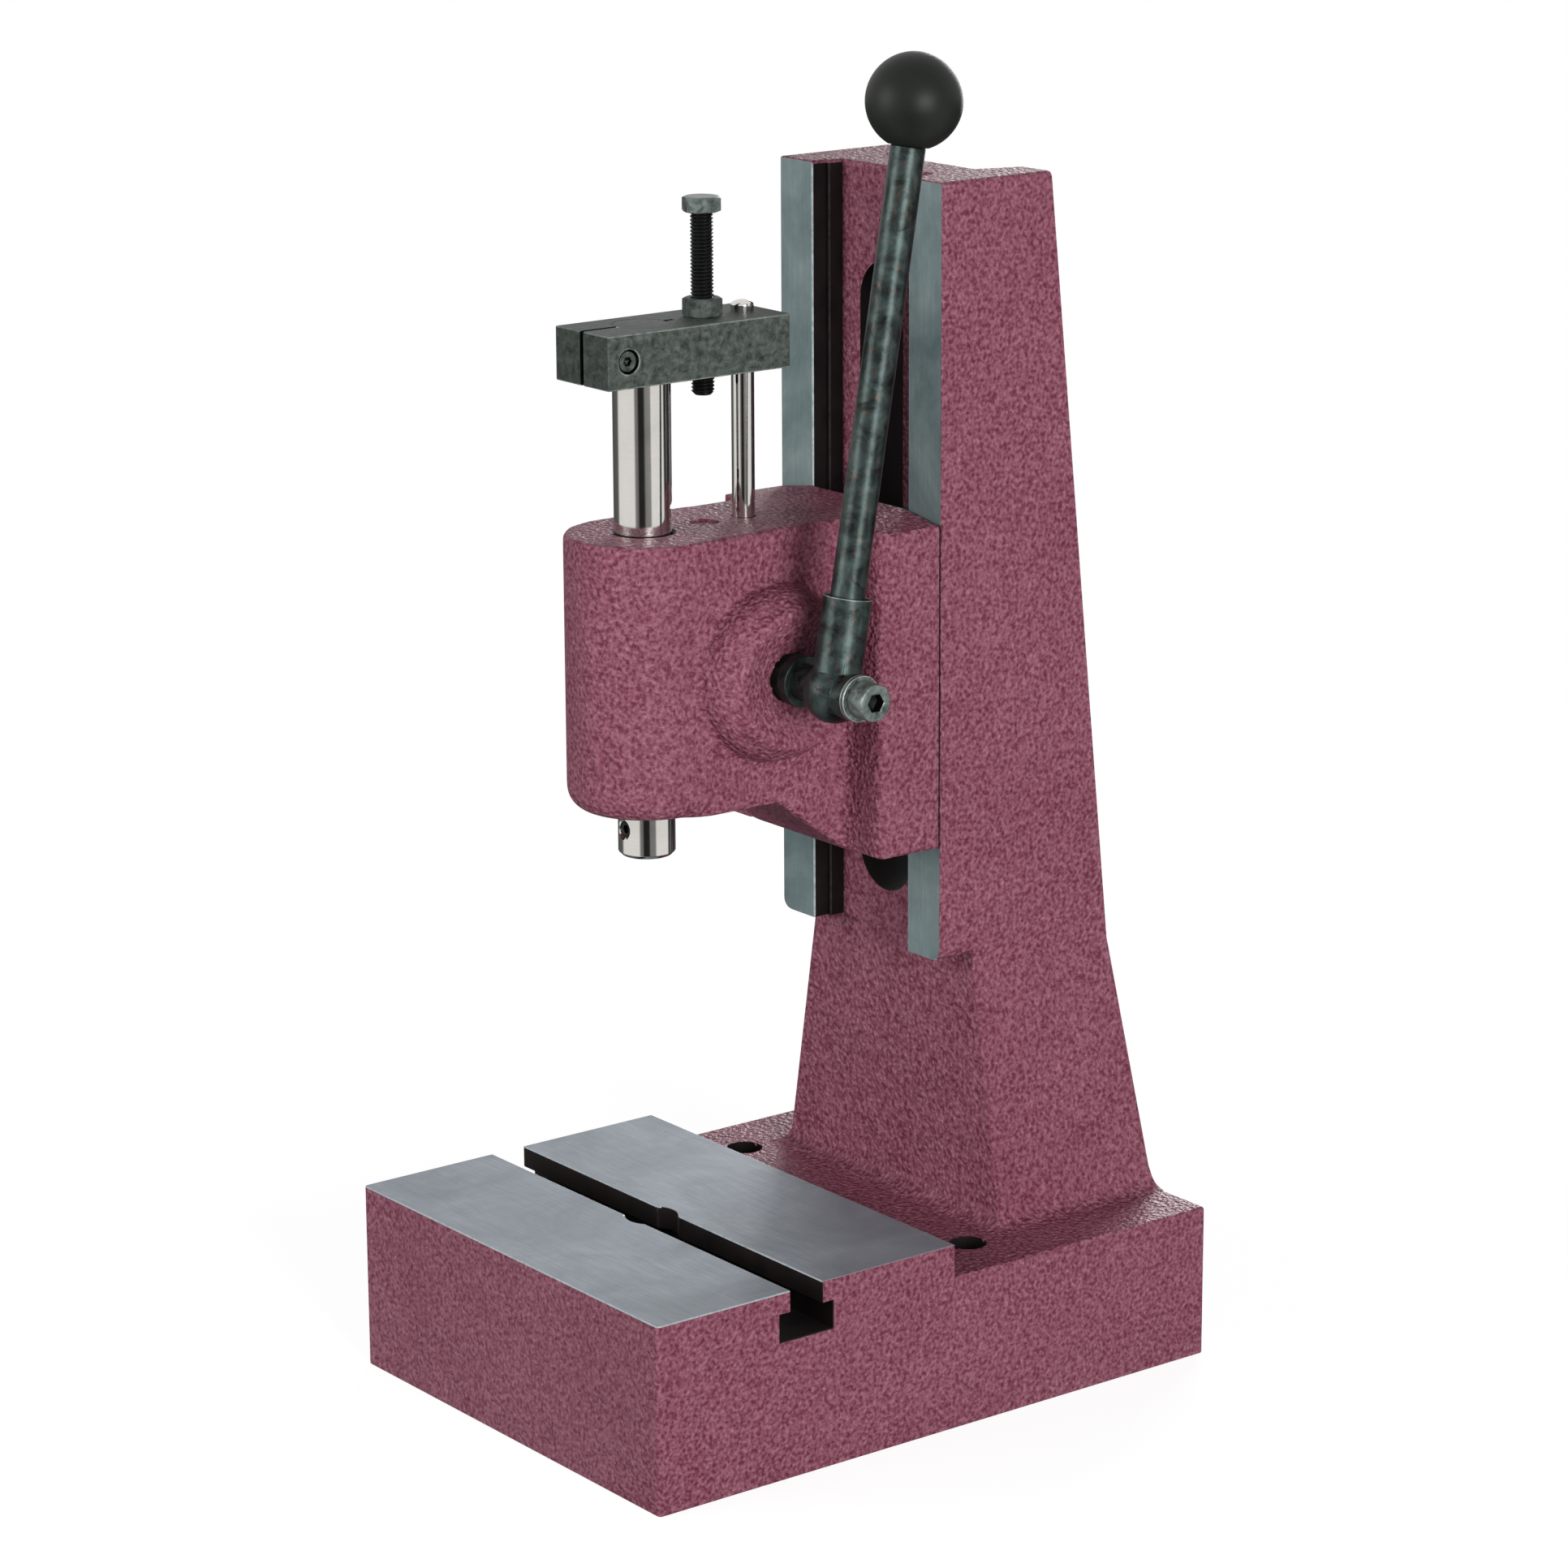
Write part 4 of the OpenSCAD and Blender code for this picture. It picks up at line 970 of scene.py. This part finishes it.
def new_hexagon(name, across, low, high, place, material, bore=0.0):
    """A nut or bolt head with its corners turned off at both ends."""
    half = across / 2
    rings = [
        (half - HEX_CHAMFER, low), (half, low + 0.12, HEX, -0.5), (half, high - 0.12, HEX, 0.5),
        (half - HEX_CHAMFER, high),
    ]
    if bore:
        mouth = bore + HEX_CHAMFER
        rings += [(mouth, high), (bore, high - HEX_CHAMFER), (bore, low + HEX_CHAMFER), (mouth, low)]
        return new_turned(name, rings, place, material, tube=True)
    return new_turned(name, [(0, low)] + rings + [(half * 0.7, high), (0, high)], place, material)


def new_cap_screw(name, place, span, head_radius, head_height, shank_radius, key, material):
    """A socket head screw along its place's Z, head at the high end, with painted shade in black inside its
    socket.
    """
    low, high = span
    head_low = high - head_height
    edge = head_radius / 7
    socket = key / 2
    floor = (head_low + high) / 2
    outside = [
        (0, low), (shank_radius - 0.4, low), (shank_radius, low + 0.4), (shank_radius, head_low),
        (head_radius - 0.15, head_low), (head_radius, head_low + 0.15), (head_radius, high - edge),
        (head_radius - edge * 0.3, high - edge * 0.3), (head_radius - edge, high), (socket * 1.3, high),
        (socket, high - 0.35, HEX),
    ]
    inside = [(socket, floor, HEX), (socket * 0.4, floor - 0.5), (0, floor - 0.7)]
    bm = bmesh.new()
    faces = turned(bm, outside + inside, place)
    for face in faces[(len(outside) - 1) * RING_STEPS:]:
        face.material_index = 1
    return shade(to_object(name, bm, material, BLACK_OXIDE_AND_HOLLOW_SHADE))


def make_stop_bolt():
    low, high = ends("stop_bolt", "z")
    head_low = high - STOP_HEAD_HEIGHT
    start = UPRIGHT_STOP @ Matrix.Translation((0, 0, low))
    bolt = threaded(
        "stop_bolt_thread", start, crest=4.0, depth=0.62, pitch=1.25, length=head_low - low,
        material=BLACK_OXIDE_AND_HOLLOW_SHADE)
    place = UPRIGHT_STOP @ Matrix.Rotation(STOP_HEAD_TURN, 4, "Z")
    joined(bolt, new_hexagon("stop_bolt_head", STOP_ACROSS, head_low, high, place, BOLT_STEEL))
    bolt.name = "threaded_stop_bolt"
    settle(bolt, "stop", "bolt_steel", "stop_bolt")


def make_lock_nut():
    low, high = ends("lock_nut", "z")
    place = UPRIGHT_STOP @ Matrix.Rotation(LOCK_NUT_TURN, 4, "Z")
    nut = new_hexagon("stop_lock_nut", STOP_ACROSS, low, high, place, BLACKENED, bore=4.04)
    settle(nut, "ram", "bolt_steel", "lock_nut")


def make_hub_screw():
    screw = new_cap_screw(
        "hub_cap_screw", ALONG_SHAFT, ends("hub_screw", "x"), head_radius=6.5, head_height=8.0,
        shank_radius=4.0, key=6.0, material=BOLT_STEEL)
    settle(screw, "lever", "bolt_steel", "hub_screw")


def make_block_screw():
    middle = middle_of("block_screw")
    place = Matrix.Translation((0.0, middle.y, middle.z)) @ SIDEWAYS
    screw = new_cap_screw(
        "block_clamp_screw", place, ends("block_screw", "x"), head_radius=3.5, head_height=4.0,
        shank_radius=2.0, key=3.0, material=BLACKENED)
    settle(screw, "ram", "black_steel", "block_screw")


# Clamp block on the ram

SLIT_HALF = 1.0
COUNTERBORE_REACH = 4.6


def block_rounding(edge):
    """The block's slit and its bores keep plain edges, save the counterbore on the lever side."""
    middle = edge_middle(edge)
    bored = on_hole(edge) and not near(middle.x, ends("top_block", "x")[1])
    return 0.0 if bored or abs(middle.x) < SLIT_HALF + 0.3 else 1.0


def make_block():
    """The clamp block: its front face painted darker as shade, and painted shade, black, inside its slit
    and its screw's counterbore.
    """
    front = ends("top_block", "y")[0]
    screw = middle_of("block_screw")
    obj = round_edges(
        "ram_block", cad_copy("top_block"), 0.5, block_rounding, BLACKENED, BLACK_OXIDE_AND_HOLLOW_SHADE, FRONT_FACE_SHADE)
    for polygon in obj.data.polygons:
        centre = polygon.center / MM
        off_screw = math.hypot(centre.y - screw.y, centre.z - screw.z)
        sunk = off_screw < COUNTERBORE_REACH and abs(polygon.normal.x) < 0.5
        in_slit = abs(centre.x) < SLIT_HALF + 0.1 and abs(polygon.normal.x) > 0.9
        if sunk or in_slit:
            polygon.material_index = 1
        # Painted shade: the block's front face is darker.
        elif near(centre.y, front) and polygon.normal.y < -0.9:
            polygon.material_index = 2
    settle(shade(obj, flats_creased=True), "ram", "blackened_steel", "top_block")


# Clamp behind the column

STUD_RADIUS = 6.0
STUD_THREAD = 22.0
CLAMP_NUT_ACROSS = 1.58 * 2 * STUD_RADIUS
STUD_LOW_Z = place_on("clamp_studs", "z", 0) + STUD_RADIUS
STUD_HIGH_Z = place_on("clamp_studs", "z", 1) - STUD_RADIUS
AT_LOW_STUD = Matrix.Translation((0.0, 0.0, STUD_LOW_Z)) @ BACKWARDS


def settle_pair(obj, node):
    """Sets a second piece at the upper stud beside the one at the lower stud."""
    step = (0.0, 0.0, (STUD_HIGH_Z - STUD_LOW_Z) * MM)
    run_tree(obj, ROW_TREE, Count=2, Step=step, Material=BOLT_STEEL)
    settle(obj, "head", "bolt_steel", node)


def make_studs():
    """Two studs through the column's slot, threaded at their back ends."""
    start, end = ends("clamp_studs", "y")
    thread_start = end - STUD_THREAD
    studs = new_turned("stud_plain", [
        (0, start), (STUD_RADIUS - 0.6, start), (STUD_RADIUS, start + 0.6),
        (STUD_RADIUS, thread_start - 0.6), (STUD_RADIUS - 0.8, thread_start), (0, thread_start),
    ], AT_LOW_STUD, BOLT_STEEL)
    from_end = AT_LOW_STUD @ Matrix.Translation((0, 0, end)) @ Matrix.Rotation(math.pi, 4, "X")
    joined(studs, threaded(
        "stud_thread", from_end, crest=STUD_RADIUS, depth=0.9, pitch=1.75, length=STUD_THREAD,
        material=BOLT_STEEL))
    studs.name = "clamp_stud_pair"
    settle_pair(studs, "clamp_studs")


def make_clamp_washers():
    start, end = ends("clamp_washers", "y")
    bore, radius = STUD_RADIUS + 0.3, 2 * STUD_RADIUS
    rings = [
        (bore, start), (radius - 0.3, start), (radius, start + 0.3),
        (radius, end - 0.3), (radius - 0.3, end), (bore, end),
    ]
    washers = new_turned("clamp_washer_pair", rings, AT_LOW_STUD, BOLT_STEEL, tube=True)
    settle_pair(washers, "clamp_washers")


def make_clamp_nuts():
    start, end = ends("clamp_nuts", "y")
    nuts = new_hexagon(
        "clamp_nut_pair", CLAMP_NUT_ACROSS, start, end, AT_LOW_STUD, BOLT_STEEL, bore=STUD_RADIUS + 0.01)
    settle_pair(nuts, "clamp_nuts")


# Guide pin, lever and knob

DOME_RISE = 1.8
DOME_STEPS = 8
ROD_START = 14.0
ROD_RADIUS = 6.0
ROD_TIP_RADIUS = 5.0
ROD_TIP = 13.0
KNOB_SEAT = 185.0
KNOB_CENTRE = 200.0
KNOB_RADIUS = 16.5
KNOB_BORE_DEPTH = 12.0
KNOB_STEPS = 40
SLEEVE_RIM = 32.5
SLEEVE_BORE_REACH = 7.6


def make_guide_pin():
    low, high = ends("guide_pin", "z")
    dome = arc(PIN_RADIUS, DOME_RISE, high - DOME_RISE, 0.0, DOME_STEPS)
    rings = [(0, low), (PIN_RADIUS - 0.5, low), (PIN_RADIUS, low + 0.5)] + dome + [(0, high)]
    pin = new_turned("guide_rod", rings, UPRIGHT_GUIDE, POLISHED)
    settle(pin, "head", "polished_steel", "guide_pin")


def make_lever_rod():
    rod = new_turned("lever_bar", [
        (0, ROD_START), (ROD_RADIUS - 1, ROD_START), (ROD_RADIUS, ROD_START + 1),
        (ROD_RADIUS, KNOB_SEAT - 0.4), (ROD_RADIUS - 0.4, KNOB_SEAT), (ROD_TIP_RADIUS, KNOB_SEAT),
        (ROD_TIP_RADIUS, KNOB_SEAT + ROD_TIP), (0, KNOB_SEAT + ROD_TIP),
    ], ALONG_LEVER, LEVER_STEEL)
    settle(rod, "lever", "blackened_steel", "lever_rod")


def make_knob():
    """A ball with a flat seat and a bore for its insert."""
    bore_end = KNOB_SEAT + KNOB_BORE_DEPTH
    start = math.asin((KNOB_SEAT - KNOB_CENTRE) / KNOB_RADIUS)
    rings = [
        (0, bore_end), (ROD_RADIUS, bore_end), (ROD_RADIUS, KNOB_SEAT + 0.3), (ROD_RADIUS + 0.3, KNOB_SEAT),
    ]
    rings += arc(KNOB_RADIUS, KNOB_RADIUS, KNOB_CENTRE, start, KNOB_STEPS)
    rings.append((0, KNOB_CENTRE + KNOB_RADIUS))
    ball = new_turned("lever_ball", rings, ALONG_LEVER, KNOB)
    settle(ball, "lever", "black_plastic", "ball_knob")


def make_lever_hub():
    """The ball and sleeve that hold the lever, with painted shade, dark, inside the sleeve's rim."""
    obj = round_edges(
        "lever_socket", cad_copy("lever_hub"), 0.3, lambda edge: 1.0, LEVER_STEEL, BLACK_OXIDE_AND_HOLLOW_SHADE)
    to_lever = ALONG_LEVER.inverted()
    for polygon in obj.data.polygons:
        point = to_lever @ (polygon.center / MM)
        if point.z > SLEEVE_RIM - 4 and math.hypot(point.x, point.y) < SLEEVE_BORE_REACH:
            polygon.material_index = 1
    settle(shade(obj), "lever", "blackened_steel", "lever_hub")


def make_axle_collar():
    start, end = ends("shaft_collar", "x")
    low, high = ends("shaft_collar", "z")
    radius = (high - low) / 2
    bore = 5.0
    rings = [
        (bore, start), (radius - 0.6, start), (radius, start + 0.6), (radius, end - 0.6),
        (radius - 0.15, end - 0.2), (radius - 0.6, end), (bore, end),
    ]
    obj = new_turned("axle_collar", rings, ALONG_SHAFT, LEVER_STEEL, tube=True)
    settle(obj, "lever", "blackened_steel", "shaft_collar")


# Floor, light and camera

# Painted reflection in the floor round the press, which only polished metal mirrors: bright bands with dark
# gaps between.
# Each is an azimuth in degrees, 0 in front and 90 on the lever side, with its brightness.
REFLECTION_BANDS = (
    (-130, 0.03), (-110, 0.08), (-56, 0.14), (-46, 0.95), (22, 0.95), (27, 0.25), (36, 0.2), (40, 0.02),
    (60, 0.02), (64, 0.22), (84, 0.25), (90, 0.95), (143, 0.95), (150, 0.02),
)

FLOOR_REACH = 6000.0
BASE_INSET = 2.0


def within(tree, value, limit):
    """1 where a value lies less than the limit to either side of 0."""
    return maths(tree, "LESS_THAN", maths(tree, "ABSOLUTE", value), limit)


def make_floor():
    """White where the camera sees it, with the press's shadow. Metal mirrors it as a painted reflection:
    bright bands with dark gaps.
    """
    bm = bmesh.new()
    bmesh.ops.create_grid(bm, x_segments=1, y_segments=1, size=FLOOR_REACH)
    material, tree, shader = new_finish("white_floor")
    rays = add(tree, "ShaderNodeLightPath").outputs
    seen = maths(tree, "MAXIMUM", rays["Is Camera Ray"], rays["Is Transmission Ray"])
    place = object_place(tree)
    across = add(tree, "ShaderNodeSeparateXYZ", {0: place}).outputs
    away = add(tree, "ShaderNodeVectorMath", {0: place}, operation="LENGTH").outputs["Value"]
    lit = remap(tree, away, 0.3, 1.1)
    glow = add(tree, "ShaderNodeEmission", {"Strength": remap(tree, lit, 0.0, 1.0, 0.86, 1.0)})
    grey = mixed(tree, lit, (0.3, 0.3, 0.3, 1.0), (0.0, 0.0, 0.0, 1.0))
    shadow = add(tree, "ShaderNodeBsdfDiffuse", {"Color": grey})
    white = add(tree, "ShaderNodeAddShader", {0: glow.outputs[0], 1: shadow.outputs[0]})
    bounce = add(tree, "ShaderNodeBsdfDiffuse", {"Color": (0.5, 0.5, 0.5, 1.0)})
    half_base = {axis: (ends("base_plinth", axis)[1] - BASE_INSET) * MM for axis in "xy"}
    inside = [within(tree, across[axis.upper()], half) for axis, half in half_base.items()]
    open_floor = maths(tree, "SUBTRACT", seen, maths(tree, "MULTIPLY", *inside))
    plain = add(tree, "ShaderNodeMixShader", {0: open_floor, 1: bounce.outputs[0], 2: white.outputs[0]})
    # Painted reflection: bright and dark bands by azimuth, which only mirrored rays see.
    azimuth = maths(tree, "ARCTAN2", across["X"], maths(tree, "MULTIPLY", across["Y"], -1.0))
    band_ramp = add(tree, "ShaderNodeValToRGB", {0: remap(tree, azimuth, -math.pi, math.pi)})
    ramp = band_ramp.color_ramp.elements
    for degrees, level in REFLECTION_BANDS:
        ramp.new((degrees + 180) / 360).color = (level, level, level, 1.0)
    ramp.remove(ramp[-1])
    ramp.remove(ramp[0])
    mirrored = add(tree, "ShaderNodeEmission", {"Color": band_ramp.outputs["Color"], "Strength": 1.0})
    both = add(tree, "ShaderNodeMixShader", {
        0: rays["Is Glossy Ray"], 1: plain.outputs[0], 2: mirrored.outputs[0],
    })
    tree.links.new(both.outputs[0], tree.nodes["Material Output"].inputs["Surface"])
    tree.nodes.remove(shader)
    to_object("studio_floor", bm, material)


def make_world():
    """White to the camera and to mirrored rays, and a weak even light for the rest."""
    world = bpy.data.worlds.new("studio")
    bpy.context.scene.world = world
    world.use_nodes = True
    tree = world.node_tree
    tree.nodes.clear()
    rays = add(tree, "ShaderNodeLightPath").outputs
    mirrored = maths(tree, "MAXIMUM", rays["Is Glossy Ray"], rays["Is Transmission Ray"])
    seen = maths(tree, "MAXIMUM", rays["Is Camera Ray"], mirrored)
    white = add(tree, "ShaderNodeBackground", {"Color": (1.0, 1.0, 1.0, 1.0), "Strength": 1.0})
    ambient = add(tree, "ShaderNodeBackground", {"Color": (1.0, 0.99, 0.98, 1.0), "Strength": 0.09})
    both = add(tree, "ShaderNodeMixShader", {0: seen, 1: ambient.outputs[0], 2: white.outputs[0]})
    out = add(tree, "ShaderNodeOutputWorld")
    tree.links.new(both.outputs[0], out.inputs["Surface"])


# Places of the lights and the camera are in metres.
LIT_POINT = Vector((0.0, 0.0, 0.24))


def make_softbox(name, azimuth, elevation, distance, size, watts):
    """A square soft light. Azimuth 0 is in front of the press, and 90 on its lever side."""
    a, e = math.radians(azimuth), math.radians(elevation)
    light = bpy.data.lights.new(name, "AREA")
    light.shape = "SQUARE"
    light.size = size
    light.energy = watts
    obj = bpy.data.objects.new(name, light)
    towards = Vector((math.sin(a) * math.cos(e), -math.cos(a) * math.cos(e), math.sin(e)))
    obj.location = LIT_POINT + distance * towards
    obj.rotation_euler = (LIT_POINT - obj.location).to_track_quat("-Z", "Y").to_euler()
    bpy.context.scene.collection.objects.link(obj)


CAMERA_AZIMUTH = math.radians(52.60)
CAMERA_ROLL = math.radians(-0.28)
CAMERA_PLACE = Vector((1.3477, -1.0303, 0.6671))
CAMERA_BACK = Vector((0.76785, -0.58706, 0.25654)).normalized()
FOCAL_PIXELS = 6107.5
PHOTO_PIXELS = 1932
SENSOR_WIDTH = 36.0


def make_camera():
    data = bpy.data.cameras.new("photo_camera")
    data.sensor_fit = "HORIZONTAL"
    data.sensor_width = SENSOR_WIDTH
    data.lens = SENSOR_WIDTH * FOCAL_PIXELS / PHOTO_PIXELS
    data.clip_end = 50.0
    camera = bpy.data.objects.new("photo_camera", data)
    right = Vector((math.cos(CAMERA_AZIMUTH), math.sin(CAMERA_AZIMUTH), 0.0))
    level = Matrix((right, CAMERA_BACK.cross(right), CAMERA_BACK)).transposed().to_4x4()
    rolled = level @ Matrix.Rotation(CAMERA_ROLL, 4, "Z")
    camera.matrix_world = Matrix.Translation(CAMERA_PLACE) @ rolled
    bpy.context.scene.collection.objects.link(camera)
    bpy.context.scene.camera = camera


def finish_cad_nodes():
    """CAD nodes that stay as they are take a finish too."""
    finishes = {
        "shaft_bush_right": BRONZE, "shaft_bush_left": BRONZE, "knob_insert": BRASS,
        "pinion_gear": BOLT_STEEL, "drive_key": BOLT_STEEL,
        "return_spring": BOLT_STEEL, "spring_anchor": BOLT_STEEL,
    }
    for node, material in finishes.items():
        set_materials(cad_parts[node].data, material)


make_cast_frame()
make_cast_head()
make_guide_pin()
make_ram()
make_stop_bolt()
make_lock_nut()
make_hub_screw()
make_block_screw()
make_studs()
make_clamp_washers()
make_clamp_nuts()
make_lever_rod()
make_knob()
make_block()
make_axle_collar()
dressed("drive_shaft", "drive_axle", "lever", "polished_steel", LEVER_STEEL, 0.15)
make_lever_hub()
dressed("hub_washer", "hub_screw_washer", "lever", "bolt_steel", BOLT_STEEL, 0.25)
dressed("tool_screw", "tool_set_screw", "ram", "black_steel", BLACK_OXIDE_AND_HOLLOW_SHADE, 0.2)
dressed("clamp_bar", "clamp_bridge", "head", "blackened_steel", BLACKENED, 0.8, rims=False)
dressed("bearing_cover", "axle_cover", "head", "blackened_steel", BLACKENED, 0.4)
dressed("cover_circlip", "axle_circlip", "head", "bolt_steel", BOLT_STEEL, 0.2)
finish_cad_nodes()

make_floor()
make_world()
make_softbox("front_light", -16, 14, 2.2, 1.2, 25)
make_softbox("lever_side_light", 78, 9, 2.2, 0.9, 41)
make_softbox("back_light", 215, 9, 2.2, 0.9, 30)
make_camera()
bpy.context.scene.view_settings.view_transform = "Standard"
